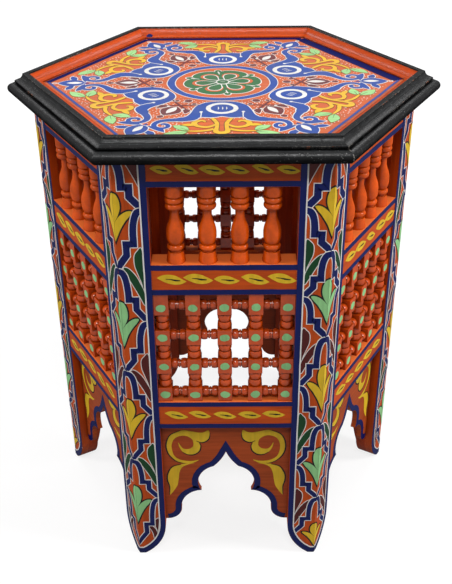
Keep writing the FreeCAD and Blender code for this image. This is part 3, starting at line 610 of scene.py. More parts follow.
def paint_apron(step):
    place = on_side(step, APRON_FACE)
    left = []
    for start, end, bulge in zip(ARCH_LEFT, ARCH_LEFT[1:], ARCH_BULGES):
        left += arc(start, end, bulge)[:-1]
    arch = left + [ARCH_LEFT[-1]] + mirrored(left)[::-1]
    coat("aprons", "navy").stroke(place, beside(arch, ARCH_MARGIN + ARCH_BAND / 2), ARCH_BAND, 2)
    for turn in (list, mirrored):
        for shape in (SCROLL, SCROLL_TAIL):
            coat("aprons", "yellow").fill(place, smooth_outline(turn(shape)), 2)
        for line in SCROLL_STROKES:
            coat("aprons", "black").stroke(place, curve(turn(line)), width=[0.6, 1.5, 1.5, 0.6], level=3)


# Top: a rosette in a ring, six medallions with ribbons to the corners, palmettes, flowers and arabesques.
# Places are given as distance outward from the middle and distance to the left of that line.

RING_MIDDLE = 53.8
RING_WIDTH = 7.4
RING_WOBBLE = 0.6
ROSETTE_WOBBLE = 0.5
ROSETTE_TURN = 8
ROSETTE_LOBES = ((-30, 29.5), (-26, 34.5), (-19, 38.4), (-9, 40), (0, 40.4), (9, 40), (19, 38.4), (26, 34.5))
ROSETTE_TAB = (37.6, 4, 3.2)
ROSETTE_TICK = ((26.5, -0.3), (36, 0.3))
ROSETTE_HEART = 6
ROSETTE_MARK = ((-2.5, 0.3), (0, 0), (2.6, -0.3))
PETAL = ((8, 0), (12, 3), (18, 6), (23, 6.2), (26.6, 3.6), (27.8, 0))
PETAL_SURROUND = ((12, 0), (15, 6.5), (20, 9), (26, 9), (30.4, 5.4), (32, 0))
MEDALLION = 80.5
MEDALLION_BODY = (
    (60.5, 0), (61.4, 9), (64.5, 17), (72, 24), (80, 27), (87, 28.8), (94, 30.3), (100, 32.5), (104.5, 36),
    (107, 42), (115.6, 42), (114.6, 30), (110.5, 24), (104.8, 20.5), (105.5, 12), (104.8, 6), (102.4, 0),
)
MEDALLION_RING = 13.5
MEDALLION_DASH = ((76.5, 0), (80.5, 0.5), (84.5, 0))
DASH_PLACES = (-4, 0, 4)
BODY_NOTCH = ((90.5, 20.4), (97, 20), (105, 20.2))
# Ribbon from a medallion to a corner, as places along the line to that corner and to its left
CORNER_RIBBON = (
    (112.5, 23.2), (118, 18.4), (122, 13.4), (126.5, 8.8), (131.5, 6.4), (137.5, 6.6), (142.4, 9.6),
    (144.6, 14.4), (142.8, 19.4), (138, 21.4), (133.6, 18.8), (132.8, 14.6), (135.6, 12.6),
)
CORNER_RIBBON_WIDTHS = [8.6, 7.8, 7, 6.4, 6, 5.4, 4.8, 4.6, 4.4, 4.4, 4.4, 4, 3]
CORNER_STEM = ((140, 0), (143, 0), (148, 0))
CORNER_LEAF = ((145.5, 0), (147, 5.4), (152, 8.8), (159, 10), (165, 7.8), (169.5, 4), (172.5, 0))
CORNER_LEAF_MARGIN = 6
CORNER_ALMOND = ((147, 0), (164, 0), 6.6)
CORNER_SIDE_PETALS = (((144.5, 3), (150.5, 26), 7.2, 1.8), ((155.5, 6), (161, 22), 7, 0.4))
CORNER_RING = ((176.4, 0), 2.2, 2)
FLOWER_PETALS = (((86.5, 0), (113.5, 0), 20.5, 0.0), ((88, 8), (100, 16.5), 7, 2.2))
FLOWER_BUDS = ((67.3, 0, 4.2, 3.8), (118, 0, 3.6, 3.0), (72.5, 10, 2.4, 2.2))
FLOWER_ALMOND = ((88.5, 0), (108, 0), 7.4)
FLOWER_DOT = ((90.5, 8.4), 1.7, 1.5)
FLOWER_CROSS = ((71.5, 16.5), (82.5, 0), (91.5, -14))
# Arabesque outside each medallion, with the ground that it keeps free of dots
KEYHOLE_GROUND = ((106, -9), (106, 9), (150, 9), (150, -9))
VOLUTE_GROUND = ((112, 8), (112, 29), (126, 36), (144, 30), (144, 8))
KEYHOLE = ((107.6, 9.4), (113, 7), (121, 4.7), (130, 4.6), (138, 5.4), (143.4, 4.8), (146, 0))
KEYHOLE_WIDTHS = [3, 4.2, 4, 3.6, 4.6, 5.8, 6.4]
VOLUTE = (
    (122, 4.5), (128, 9), (131, 14), (129.6, 20.5), (125, 25), (119, 25.6), (114.8, 21.8), (114.8, 17.4),
    (118, 16),
)
VOLUTE_WIDTHS = [2.2, 3.8, 4.2, 4.4, 5.2, 5.6, 4.8, 3.6, 2]
VOLUTE_LEAF = ((126.5, 24), (125, 38), 6, 0.8)
LEAF_STEM = ((136, 7.5), (139.6, 14), (141.2, 22), (140.8, 31.5))
LEAF_STEM_WIDTHS = [4.2, 4, 3.4, 2.2]
GREEN_LEAVES = (((139.5, 30.5), (126.5, 45.5), 10, 1.0), ((142, 31), (149, 54), 11, -1.0))
# Border line of the panel for each side in turn from the front: distance of its middle, width and colour
BORDER = (
    (159.4, 2.8, "blue"), (159.4, 2.8, "blue"), (158.6, 12, "navy"),
    (160.4, 7, "navy"), (160.4, 6, "navy"), (159.4, 3, "blue"),
)
BORDER_WOBBLE = 0.5
# Touches of white over the ground: spacing, rows each way, how far they stray, sizes, and where they end
GROUND_DOTS_SEED = 7
DOT_PITCH = 4.6
DOT_ROWS = 42
DOT_STRAY = 0.3
DOT_SIZES = (0.3, 0.68)
DOT_LENGTH = 1.7
DOT_ROW_SHARE = 0.87
DOTS_OUTSIDE = 62
DOTS_WITHIN = 154
# Direction square to a slanting side of the panel
SLANT = (0.866, 0.5)
covered = []


def cover(angle, outline):
    """Keeps an outline of the panel free of ground dots."""
    turn = Matrix.Rotation(math.radians(angle), 2)
    covered.append([tuple(turn @ Vector(point)) for point in outline])


def paint_rosette():
    place = on_top(0, ROSETTE_WOBBLE)
    turns = [ROSETTE_TURN + SIDE_ANGLE * step for step in range(len(SIDES))]
    lobes = [polar(turn + angle, radius) for turn in turns for angle, radius in ROSETTE_LOBES]
    reach, outward, across = ROSETTE_TAB
    for turn in turns:
        between = turn + SIDE_ANGLE / 2
        tab = ellipse(polar(between, reach), outward, across, between)
        outlined("top", place, tab, "dark_green", 2, edge=1.1)
        tick_place = on_top(between, ROSETTE_WOBBLE)
        coat("top", "white").stroke(tick_place, list(ROSETTE_TICK), width=[0.8, 1.3], level=4)
    outlined("top", place, smooth_outline(lobes), "dark_green", 2, edge=1.1)
    for turn in turns:
        petal_place = on_top(turn, ROSETTE_WOBBLE)
        coat("top", "orange").fill(petal_place, smooth_outline(both_ways(PETAL_SURROUND)), 3)
        outlined("top", petal_place, smooth_outline(both_ways(PETAL)), "dark_green", 5, edge=1.2)
    outlined("top", place, ellipse((0, 0), ROSETTE_HEART, ROSETTE_HEART), "dark_green", 6, edge=1.5)
    coat("top", "white").stroke(place, list(ROSETTE_MARK), width=[0.5, 0.9, 0.5], level=7)


def paint_medallion(angle):
    place = on_top(angle)
    white = coat("top", "white")
    body = smooth_outline(both_ways(MEDALLION_BODY))
    cover(angle, body)
    outlined("top", place, body, "blue", 3, edge=1.1)
    ring = ellipse((MEDALLION, 0), MEDALLION_RING, MEDALLION_RING)
    white.stroke(place, ring, width=4.7, level=4, closed=True)
    for left in DASH_PLACES:
        dash = [(outward, left + bent) for outward, bent in MEDALLION_DASH]
        white.stroke(place, dash, width=[0.4, 1.2, 0.4], level=4)
    for side in (list, flipped):
        notch = side(BODY_NOTCH)
        white.stroke(place, curve(notch), width=[1.6, 1.0, 1.0], level=4)
        white.fill(place, ellipse(notch[0], across=1.9, up=1.7, count=10), 4)


def paint_corner(angle):
    place = on_top(angle)
    half = CORNER_RIBBON_WIDTHS[2] / 2
    for side in (list, flipped):
        ribbon = curve(side(CORNER_RIBBON))
        outlined_stroke("top", place, ribbon, CORNER_RIBBON_WIDTHS, "blue", 3, edge=1.0)
        for distance in (half, -half):
            cover(angle, beside(ribbon, distance) + [(outward, 0.8 * left) for outward, left in ribbon[::-1]])
        for shape in CORNER_SIDE_PETALS:
            petal = side(leaf(*shape, fullest=0.62))
            outlined("top", place, petal, "blue", 3)
            cover(angle, petal)
    coat("top", "blue").stroke(place, list(CORNER_STEM), width=[1.6, 3, 6], level=3)
    middle = smooth_outline(both_ways(CORNER_LEAF))
    outlined("top", place, middle, "blue", 4)
    cover(angle, widened(middle, CORNER_LEAF_MARGIN))
    coat("top", "white").fill(place, leaf(*CORNER_ALMOND), 5)
    ring = ellipse(*CORNER_RING, count=12)
    coat("top", "white").stroke(place, ring, width=0.9, level=3, closed=True)


def paint_flower(angle):
    place = on_top(angle)
    shapes = [(leaf(*shape), 0.75, shape[0][1]) for shape in FLOWER_PETALS]
    shapes += [(ellipse((outward, left), *size, count=14), 0.6, left) for outward, left, *size in FLOWER_BUDS]
    for shape, edge, paired in shapes:
        for side in (list, flipped) if paired else (list,):
            outlined("top", place, side(shape), "maroon", 3, edge=edge)
            cover(angle, side(shape))
    coat("top", "white").fill(place, leaf(*FLOWER_ALMOND), 4)
    for side in (list, flipped):
        coat("top", "maroon").stroke(place, side(FLOWER_CROSS), width=[1.8, 2.6, 2.6], level=2)
        coat("top", "white").fill(place, side(ellipse(*FLOWER_DOT, count=10)), 4)


def paint_yellow_stroke(place, line, widths, edge):
    """A yellow stroke over a brown one that is wider by edge."""
    coat("top", "brown").stroke(place, line, [width + edge for width in widths], 2)
    coat("top", "yellow").stroke(place, line, widths, 3)


def paint_arabesque(angle):
    place = on_top(angle)
    keyhole = curve(list(KEYHOLE) + flipped(KEYHOLE[:-1])[::-1])
    paint_yellow_stroke(place, keyhole, KEYHOLE_WIDTHS + KEYHOLE_WIDTHS[-2::-1], edge=1.4)
    cover(angle, KEYHOLE_GROUND)
    for side in (list, flipped):
        for line, widths in ((VOLUTE, VOLUTE_WIDTHS), (LEAF_STEM, LEAF_STEM_WIDTHS)):
            paint_yellow_stroke(place, curve(side(line)), widths, edge=1.2)
        outlined("top", place, side(leaf(*VOLUTE_LEAF)), "yellow", 3, "brown", edge=0.6)
        cover(angle, side(VOLUTE_GROUND))
        for base, tip, width, bend in GREEN_LEAVES:
            shape = side(leaf(base, tip, width, bend))
            outlined("top", place, shape, "light_green", 3, "leaf_shadow", edge=0.45)
            vein = side([base, tuple((Vector(base) + Vector(tip)) / 2)])
            coat("top", "leaf_shadow").stroke(place, vein, width=[0.7, 0.2], level=4)
            cover(angle, shape)


def paint_border():
    for step, (apothem, width, colour) in enumerate(BORDER):
        place = on_top(SIDE_ANGLE * step - 90, BORDER_WOBBLE, (0, 0))
        line = [(apothem, left) for left in spread(apothem * math.tan(math.radians(SIDE_ANGLE / 2)))]
        coat("border" if colour == "navy" else "top", colour).stroke(place, line, width, 2)


def paint_ground_dots():
    """Small white touches over the orange ground, outside the ring and clear of the figures."""
    chance = random.Random(GROUND_DOTS_SEED)
    place = on_top(0, 0)
    for row in range(-DOT_ROWS, DOT_ROWS + 1):
        for column in range(-DOT_ROWS, DOT_ROWS + 1):
            x = (column + (row % 2) / 2 + chance.uniform(-DOT_STRAY, DOT_STRAY)) * DOT_PITCH
            y = (row + chance.uniform(-DOT_STRAY, DOT_STRAY)) * DOT_PITCH * DOT_ROW_SHARE
            size = chance.uniform(*DOT_SIZES)
            turn = chance.uniform(0, 180)
            apothem = max(abs(y), abs(SLANT[0] * x + SLANT[1] * y), abs(SLANT[0] * x - SLANT[1] * y))
            if apothem > DOTS_WITHIN or math.hypot(x, y) < DOTS_OUTSIDE:
                continue
            if any(inside((x, y), outline) for outline in covered):
                continue
            coat("top", "white").fill(place, ellipse((x, y), size * DOT_LENGTH, size, turn, 8), 1)


for step in range(len(SIDES)):
    for hand in (1, -1):
        corner = (step + (hand > 0)) % len(SIDES)
        paint_leg(step, hand, LEG_RHYTHMS[corner % 2])
    for rail in RAIL_LEAVES:
        paint_rail(step, rail)
    paint_lattice(step)
    paint_apron(step)
    paint_medallion(SIDE_ANGLE * (step + 0.5))
    paint_corner(SIDE_ANGLE * step)
    paint_flower(SIDE_ANGLE * step)
    paint_arabesque(SIDE_ANGLE * (step + 0.5))
paint_rosette()
middle_ring = ellipse((0, 0), RING_MIDDLE, RING_MIDDLE, count=72)
outlined_stroke("top", on_top(0, RING_WOBBLE), middle_ring, RING_WIDTH, "blue", 2, closed=True)
paint_border()
paint_ground_dots()


# Materials

def linear(red, green, blue):
    """A colour as seen on a screen, 0 to 255, as the light values of a shader."""
    values = []
    for value in (red, green, blue):
        value /= 255
        values.append(value / 12.92 if value <= 0.04045 else ((value + 0.055) / 1.055) ** 2.4)
    return (*values, 1)


def tinted(colour, amount):
    return (*(min(1, value * amount) for value in colour[:3]), 1)


SHELTER_REACH = 0.03
NODE_SAMPLES = 6


class Finish:
    """A material, or the surround: its main shader, and short calls that add nodes in front of that."""

    def __init__(self, name, shader="Principled BSDF", kind=bpy.data.materials):
        self.owner = kind.new(name)
        self.owner.use_nodes = True
        self.tree = self.owner.node_tree
        self.shader = self.tree.nodes[shader]
        self.place = self.add("TexCoord").outputs["Object"]
        self.shade = None

    def add(self, kind, inputs=(), **settings):
        node = self.tree.nodes.new("ShaderNode" + kind)
        for name, value in settings.items():
            setattr(node, name, value)
        for name, value in dict(inputs).items():
            self.feed(node.inputs[name], value)
        return node

    def feed(self, socket, value):
        if isinstance(value, bpy.types.NodeSocket):
            self.tree.links.new(value, socket)
        else:
            socket.default_value = value

    def set(self, name, value):
        self.feed(self.shader.inputs[name], value)

    def noise(self, scale, detail=2.0, roughness=0.5):
        """Cloudy values from 0 to 1; scale is how many waves fit in a metre, along all axes or each."""
        waves = scale if isinstance(scale, tuple) else (scale, scale, scale)
        stretched = self.add("VectorMath", {0: self.place, 1: waves}, operation="MULTIPLY").outputs[0]
        inputs = {"Vector": stretched, "Scale": 1.0, "Detail": detail, "Roughness": roughness}
        return self.add("TexNoise", inputs).outputs["Fac"]

    def ramp(self, value, low, high, start=0.0, end=1.0):
        """A value between low and high carried to between start and end, and held there outside them."""
        inputs = {"Value": value, "From Min": low, "From Max": high, "To Min": start, "To Max": end}
        return self.add("MapRange", inputs).outputs["Result"]

    def math(self, operation, first, second=0.0):
        return self.add("Math", {0: first, 1: second}, operation=operation).outputs[0]

    def product(self, first, second):
        return self.math("MULTIPLY", first, second)

    def mix(self, share, first, second):
        return self.add("Mix", {0: share, 6: first, 7: second}, data_type="RGBA").outputs[2]

    def layer(self, colour, share, *limits):
        """Lays a colour over the shade as far as share tells, which limits can ramp first."""
        self.shade = self.mix(self.ramp(share, *limits) if limits else share, self.shade, colour)

    def distance_to(self, point):
        return self.add("VectorMath", {0: self.place, 1: point}, operation="DISTANCE").outputs["Value"]

    def facing_up(self):
        """How far the surface faces upward, from -1 to 1."""
        flat = self.add("NewGeometry").outputs["Normal"]
        return self.add("SeparateXYZ", {0: flat}).outputs["Z"]

    def shelter(self, reach):
        """1 in the open, less where other surfaces stand within reach."""
        return self.add("AmbientOcclusion", {"Distance": reach}, samples=NODE_SAMPLES).outputs["AO"]

    def paint_sheltered_shade(self, colour):
        """Painted shade: darkens the colour where the surface is sheltered by what stands near it."""
        self.layer(tinted(colour, 0.3), self.shelter(SHELTER_REACH), 0.35, 0.85, 0.55, 0)

    def edges(self, radius):
        """The rounded normal near sharp edges, and a value that rises from 0 towards such an edge."""
        rounded = self.add("Bevel", {"Radius": radius}, samples=NODE_SAMPLES).outputs["Normal"]
        flat = self.add("NewGeometry").outputs["Normal"]
        same = self.add("VectorMath", {0: rounded, 1: flat}, operation="DOT_PRODUCT").outputs["Value"]
        return rounded, self.math("SUBTRACT", 1.0, same)

    def seal(self, gloss, varnish, roughness, index):
        """Shows the shade, with a gloss of its own and under a thin varnish."""
        self.set("Base Color", self.shade)
        self.set("Specular IOR Level", gloss)
        for name, value in (("Weight", varnish), ("Roughness", roughness), ("IOR", index)):
            self.set("Coat " + name, value)

    def bump(self, height, strength, distance, normal=None):
        inputs = {"Height": height, "Strength": strength, "Distance": distance}
        if normal is not None:
            inputs["Normal"] = normal
        uneven = self.add("Bump", inputs).outputs["Normal"]
        self.set("Normal", uneven)
        return uneven

    def seen_directly(self):
        """1 for what the camera sees, also in reflections or through glass, and 0 for light on the object."""
        path = self.add("LightPath").outputs
        seen = self.math("MAXIMUM", path["Is Camera Ray"], path["Is Glossy Ray"])
        return self.math("MAXIMUM", seen, path["Is Transmission Ray"])


RUBBED = linear(226, 150, 104)
# Paler orange of the level sill faces: a painted light
SILL_PAINTED_LIGHT = linear(246, 126, 60)
UPRIGHT_GRAIN = (260, 260, 14)
LEVEL_GRAIN = (16, 16, 300)
PANEL_GRAIN = (14, 240, 60)
TURNED_GRAIN = (70, 70, 70)
SIDE_ROUGHNESS = 0.34
INNER_ROUGHNESS = 0.36
SIDE_VARNISH = 0.11
TOP_ROUGHNESS = 0.5
TOP_GLOSS = 0.29
# How strongly the varnish reflects on flat wood and on the rim
FLAT_INDEX = 2.0
RIM_INDEX = 2.4


def paint(name, colour, grain, roughness, gloss=0.0, varnish=0.0):
    """Brushed paint: streaks, cloudy patches, fine specks, painted shade where other surfaces stand near, and
    a soft sheen.
    """
    finish = Finish(name)
    streaks = finish.noise(grain, 3)
    patches = finish.noise(48, 3)
    specks = finish.noise(1300, 1)
    finish.shade = tinted(colour, 0.792)
    finish.layer(colour, streaks, 0.3, 0.68)
    finish.layer(tinted(colour, 1.176), patches, 0.42, 0.72, 0, 0.55)
    finish.layer(tinted(colour, 0.55), specks, 0.70, 0.80, 0, 0.18)
    # Painted shade: darker where other surfaces stand within 3 cm
    finish.paint_sheltered_shade(colour)
    finish.seal(gloss, varnish, roughness, FLAT_INDEX)
    finish.set("Roughness", finish.ramp(patches, 0.3, 0.7, roughness - 0.07, roughness + 0.09))
    height = finish.math("ADD", finish.product(streaks, 0.7), finish.product(specks, 0.3))
    finish.bump(height, strength=0.28, distance=0.0004)
    return finish.owner


def painted_wood(name, colour, grain, roughness=SIDE_ROUGHNESS, gloss=0.0, varnish=SIDE_VARNISH,
                 index=FLAT_INDEX, wear=0.5, edge_radius=0.0009, sill_painted_light=0.0):
    """Painted wood: grain showing through, cloudy patches, painted shade in hollows, rubbed edges, painted
    light on level sills.
    """
    finish = Finish(name)
    rings = finish.noise(grain, 5, 0.6)
    fibres = finish.noise(tuple(value * 3.1 for value in grain), 2)
    patches = finish.noise(22, 4)
    chips = finish.noise(420, 3)
    finish.shade = tinted(colour, 0.66)
    finish.layer(colour, rings, 0.32, 0.66)
    finish.layer(tinted(colour, 0.62), fibres, 0.5, 0.75, 0, 0.4)
    finish.layer(tinted(colour, 1.2), patches, 0.45, 0.75, 0, 0.5)
    # Painted shade: much darker in hollows within 9 mm, and darker where other surfaces stand within 3 cm
    finish.layer(tinted(colour, 0.24), finish.shelter(reach=0.009), 0.25, 0.85, 0.6, 0)
    finish.paint_sheltered_shade(colour)
    rounded, sharp = finish.edges(edge_radius)
    worn_edge = finish.product(finish.ramp(sharp, 0.03, 0.2), finish.ramp(chips, 0.5, 0.62, 0, wear))
    finish.layer(RUBBED, worn_edge)
    # Painted light: level faces of the sills painted paler, as if lit from above
    finish.layer(SILL_PAINTED_LIGHT, finish.facing_up(), 0.6, 0.95, 0, sill_painted_light)
    finish.seal(gloss, varnish, roughness, index)
    finish.set("Roughness", finish.ramp(patches, 0.3, 0.7, roughness - 0.06, roughness + 0.1))
    height = finish.math("ADD", rings, finish.product(fibres, 0.5))
    finish.bump(height, strength=0.22, distance=0.0005, normal=rounded)
    return finish.owner


def apothem_of(finish):
    """Distance of a place from the table's axis, square to its side of the hexagon, and its height."""
    parts = finish.add("SeparateXYZ", {0: finish.place}).outputs
    largest = finish.math("ABSOLUTE", parts["Y"])
    half = math.sin(math.radians(30))
    tall = math.cos(math.radians(30))
    for sign in (half, -half):
        slope = finish.math("ADD", finish.product(parts["X"], tall), finish.product(parts["Y"], sign))
        largest = finish.math("MAXIMUM", largest, finish.math("ABSOLUTE", slope))
    return largest, parts["Z"]


RIM_BLACK = linear(12, 12, 13)
RIM_PATCH = linear(27, 27, 28)
RIM_STREAK_AND_TOP_LIGHT = linear(40, 42, 43)
RIM_CHIP = linear(178, 170, 160)
RIM_BARE = linear(196, 108, 62)
RIM_DUST = linear(150, 150, 148)
RIM_PAINTED_SHADE = linear(4, 4, 4)
RIM_VARNISH = 0.13
COVE_ORANGE = linear(202, 76, 21)
SLIP_NAVY = linear(4, 20, 86)
SLIP_RADIUS = 0.0038


def cove_colour(finish, strokes, patches):
    """Streaky orange, with a touch of navy where the brush slipped."""
    dark, bright = tinted(COVE_ORANGE, 0.62), tinted(COVE_ORANGE, 1.1)
    shade = finish.mix(finish.ramp(strokes, 0.36, 0.62), dark, bright)
    shade = finish.mix(finish.ramp(patches, 0.4, 0.75, 0, 0.35), shade, tinted(COVE_ORANGE, 0.75))
    ragged = finish.ramp(patches, 0.3, 0.7, -0.002, 0.002)
    slip = finish.math("ADD", finish.distance_to(PAINT_SLIP), ragged)
    return finish.mix(finish.math("LESS_THAN", slip, SLIP_RADIUS), shade, SLIP_NAVY)


def rim_paint(name, with_cove):
    """Black satin paint, brushed along its length, with paler streaks only on faces that look up as a painted
    light, painted shade in its hollows, rubbed and chipped in places; a cove is orange.
    """
    finish = Finish(name)
    patches = finish.noise(70, 4)
    waves = finish.noise(34, 3, 0.6)
    chips = finish.noise(260, 4, 0.65)
    flakes = finish.noise(90, 2)
    knocked = finish.ramp(finish.distance_to(WORN_CORNER), 0.007, 0.02, 1, 0)
    worn_places = finish.math("MAXIMUM", finish.ramp(finish.noise(13, 2), 0.5, 0.66), knocked)
    apothem, height = apothem_of(finish)
    across = finish.add("CombineXYZ", {0: apothem, 1: height, 2: finish.product(waves, 0.006)}).outputs[0]
    strokes = finish.add("TexNoise", {"Vector": across, "Scale": 700.0, "Detail": 4.0}).outputs["Fac"]
    finish.shade = RIM_BLACK
    finish.layer(RIM_PATCH, patches, 0.35, 0.7)
    upward = finish.ramp(finish.facing_up(), -0.25, 0.95)
    # Paler brush streaks, painted only on faces that look up: real streaks, and a painted light that keeps
    # the undersides dark
    finish.layer(RIM_STREAK_AND_TOP_LIGHT, finish.product(finish.ramp(strokes, 0.5, 0.68), finish.ramp(upward, 0.2, 0.6)))
    if with_cove:
        brushed = finish.math("ADD", apothem, finish.ramp(chips, 0.3, 0.7, -0.0005, 0.0005))
        cove = finish.math("LESS_THAN", brushed, RIM_COVE_EDGE * MM)
        finish.layer(cove_colour(finish, strokes, patches), cove)
    rounded, sharp = finish.edges(radius=0.0012)
    worn_edge = finish.product(worn_places, finish.ramp(sharp, 0.02, 0.16))
    finish.layer(RIM_CHIP, finish.product(worn_edge, finish.ramp(chips, 0.47, 0.58, 0, 0.75)))
    finish.layer(RIM_BARE, finish.product(worn_edge, finish.ramp(flakes, 0.60, 0.64)))
    dust = finish.ramp(finish.noise(620, 2), 0.66, 0.74, 0, 0.7)
    finish.layer(RIM_DUST, finish.product(dust, finish.ramp(worn_places, 0, 1, 0.3, 1)))
    # Painted shade: near black where other surfaces stand within 6 mm, in grooves and corners
    finish.layer(RIM_PAINTED_SHADE, finish.shelter(reach=0.006), 0.3, 0.8, 0.9, 0)
    finish.seal(0.0, finish.ramp(upward, 0.15, 0.85, 0.01, RIM_VARNISH), 0.25, RIM_INDEX)
    finish.set("Roughness", 0.5)
    relief = finish.math("ADD", finish.product(waves, 3.0), finish.math("ADD", strokes, chips))
    uneven = finish.bump(relief, strength=0.42, distance=0.0005, normal=rounded)
    finish.set("Coat Normal", uneven)
    return finish.owner


def bare_wood(name):
    finish = Finish(name)
    rings = finish.noise(UPRIGHT_GRAIN, 4)
    pale = linear(196, 152, 104)
    finish.set("Base Color", finish.mix(finish.ramp(rings, 0.3, 0.7), tinted(pale, 0.62), pale))
    finish.set("Roughness", finish.ramp(rings, 0.3, 0.7, 0.6, 0.75))
    finish.bump(rings, strength=0.3, distance=0.0004)
    return finish.owner


def steel(name):
    finish = Finish(name)
    marks = finish.noise(900, 3)
    grey = linear(150, 150, 154)
    finish.set("Base Color", finish.mix(finish.ramp(marks, 0.35, 0.7), tinted(grey, 0.6), grey))
    finish.set("Metallic", 1.0)
    finish.set("Roughness", finish.ramp(marks, 0.3, 0.7, 0.3, 0.5))
    return finish.owner


ORANGE = linear(203, 80, 22)
# Darker orange of the posts inside the table: a painted shade
POST_SHADED_ORANGE = linear(188, 66, 15)
# Darker, browner orange of the recessed aprons: a painted shade
APRON_SHADED_ORANGE = linear(178, 76, 32)
# Lighter orange of the front-facing turned balusters: a painted light
BALUSTER_LIT_ORANGE = linear(232, 90, 14)
LATTICE_ORANGE = linear(212, 78, 16)
# Lighter orange of the top panel: a painted light for the light falling on it from above
TOP_LIT_ORANGE = linear(210, 97, 42)
# Turned wood: thicker varnish, little wear and fine edges
TURNED = {"index": 3.0, "wear": 0.3, "edge_radius": 0.0006}
# Colours of the painted figures on the sides and the border, and on the top, where blue, green and maroon are
# painted lighter than the same paints on the sides: a painted light
SIDE_COLOURS = {
    "navy": (4, 20, 86), "white": (242, 238, 234), "yellow": (230, 190, 48), "light_green": (150, 208, 142),
    "dark_green": (14, 62, 30), "maroon": (80, 24, 22), "black": (22, 18, 18),
}
TOP_COLOURS = {
    "blue": (22, 66, 150), "white": (236, 233, 228), "yellow": (232, 182, 42), "light_green": (160, 214, 140),
    "dark_green": (36, 98, 50), "leaf_shadow": (70, 92, 40), "maroon": (98, 26, 32), "brown": (96, 56, 22),
    "orange": (212, 98, 48),
}
# Colours that share the record's slot of another colour
SHARED_SLOTS = {"blue": "navy", "leaf_shadow": "dark_green", "brown": "maroon"}

for name, layer in coats.items():
    if name.startswith("top_"):
        colour = linear(*TOP_COLOURS[layer.colour])
        material = paint(name, colour, PANEL_GRAIN, TOP_ROUGHNESS, gloss=TOP_GLOSS)
    else:
        colour = linear(*SIDE_COLOURS[layer.colour])
        material = paint(name, colour, UPRIGHT_GRAIN, SIDE_ROUGHNESS, varnish=SIDE_VARNISH)
    layer.dry(material, SHARED_SLOTS.get(layer.colour, layer.colour) + "_paint")

# Finish of each wooden piece, by the end of its name
FINISHES = {
    "top_panel": painted_wood("top_wood", TOP_LIT_ORANGE, PANEL_GRAIN, TOP_ROUGHNESS, TOP_GLOSS, 0.0, wear=0.2),
    "top_edge_frame": rim_paint("edge_wood", with_cove=False),
    "top_rim": rim_paint("rim_wood", with_cove=True),
    ("leg_posts", "apron_nails"): painted_wood("post_wood", POST_SHADED_ORANGE, UPRIGHT_GRAIN, INNER_ROUGHNESS),
    ("leg_board_left", "leg_board_right"): painted_wood("leg_wood", ORANGE, UPRIGHT_GRAIN),
    "rail": painted_wood("rail_wood", ORANGE, LEVEL_GRAIN, wear=1.0, edge_radius=0.0013, sill_painted_light=0.75),
    "balusters": painted_wood("turned_wood", BALUSTER_LIT_ORANGE, TURNED_GRAIN, 0.18, varnish=0.065, **TURNED),
    "lattice": painted_wood("lattice_wood", LATTICE_ORANGE, TURNED_GRAIN, 0.17, varnish=0.11, **TURNED),
    "apron": painted_wood("apron_wood", APRON_SHADED_ORANGE, LEVEL_GRAIN, INNER_ROUGHNESS),
    "corner_blocks": bare_wood("block_wood"),
    "top_screws": steel("screw_steel"),
}
for name, node in frame["nodes"].items():
    material = next(finish for ending, finish in FINISHES.items() if name.endswith(ending))
    node.material_slots[0].material = material


# Studio: pale floor, white surround, a weak broad light above, and soft lights in front, beside and behind

AMBIENT = 0.2
WHITE = (1, 1, 1, 1)
FLOOR_GREY = (0.2, 0.2, 0.2, 1)
FLOOR_REACH = 4.0
FLOOR_DEPTH = -0.0003
# The floor grows whiter from near the table to further off
FLOOR_NEAR, FLOOR_FAR = 0.4, 2.4
WHITENESS_NEAR, WHITENESS_FAR = 0.8, 0.97
LAMP_AIM = Vector((0, 0, 0.35))
# Soft lights: place, width, height and power
LAMPS = {
    "overhead": ((0, 0, 2.6), 2.4, 2.4, 1),
    "front": ((0, -1.55, 2.25), 0.6, 0.4, 22),
    "left": ((-1.75, -0.45, 1.4), 0.5, 0.4, 17.5),
    "right": ((1.75, -0.45, 1.4), 0.5, 0.4, 29.5),
    "back_left": ((-1.2, 1.5, 1.9), 0.8, 0.6, 10),
    "back_right": ((1.2, 1.5, 1.9), 0.8, 0.6, 10),
}

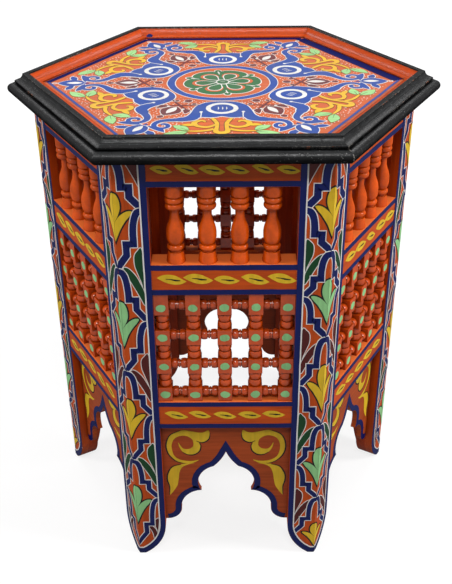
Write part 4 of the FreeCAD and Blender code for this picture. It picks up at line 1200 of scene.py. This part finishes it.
surround = Finish("studio", "Background", bpy.data.worlds)
scene.world = surround.owner
surround.set("Color", WHITE)
surround.set("Strength", surround.ramp(surround.seen_directly(), 0, 1, AMBIENT, 1))

mesh = bpy.data.meshes.new("floor")
ends = (-FLOOR_REACH, FLOOR_REACH)
mesh.from_pydata([(x, y, FLOOR_DEPTH) for x in ends for y in ends], [], [(0, 2, 3, 1)])
floor = bpy.data.objects.new("floor", mesh)
scene.collection.objects.link(floor)
paper = Finish("floor_paper")
paper.set("Base Color", FLOOR_GREY)
paper.set("Roughness", 0.9)
paper.set("Emission Color", WHITE)
position = paper.add("NewGeometry").outputs["Position"]
distance = paper.add("VectorMath", {0: position}, operation="LENGTH").outputs["Value"]
whiteness = paper.ramp(distance, FLOOR_NEAR, FLOOR_FAR, WHITENESS_NEAR, WHITENESS_FAR)
paper.set("Emission Strength", paper.ramp(paper.seen_directly(), 0, 1, 0, whiteness))
mesh.materials.append(paper.owner)

for name, (place, width, height, power) in LAMPS.items():
    lamp = bpy.data.lights.new(name, "AREA")
    lamp.shape = "RECTANGLE"
    lamp.size = width
    lamp.size_y = height
    lamp.energy = power
    light = bpy.data.objects.new(name, lamp)
    light.location = place
    light.rotation_euler = (LAMP_AIM - Vector(place)).to_track_quat("-Z", "Y").to_euler()
    scene.collection.objects.link(light)

# Camera at the photograph's viewing angle
IMAGE_HEIGHT = 584
FOCAL_PIXELS = 901.97
CAMERA_PLACE = (6.6, -927.2, 809.7)
PITCH_DOWN = math.radians(31.057)
YAW = math.radians(-0.372)
ROLL = math.radians(-0.511)
SENSOR = 36.0

lens = bpy.data.cameras.new("camera")
lens.sensor_width = SENSOR
lens.sensor_fit = "AUTO"
lens.lens = FOCAL_PIXELS / IMAGE_HEIGHT * SENSOR
camera = bpy.data.objects.new("camera", lens)
tilt = Matrix.Rotation(math.radians(90) - PITCH_DOWN, 4, "X") @ Matrix.Rotation(ROLL, 4, "Z")
turn = Matrix.Rotation(-YAW, 4, "Z") @ tilt
camera.matrix_world = Matrix.Translation(Vector(CAMERA_PLACE) * MM) @ turn
scene.collection.objects.link(camera)
scene.camera = camera
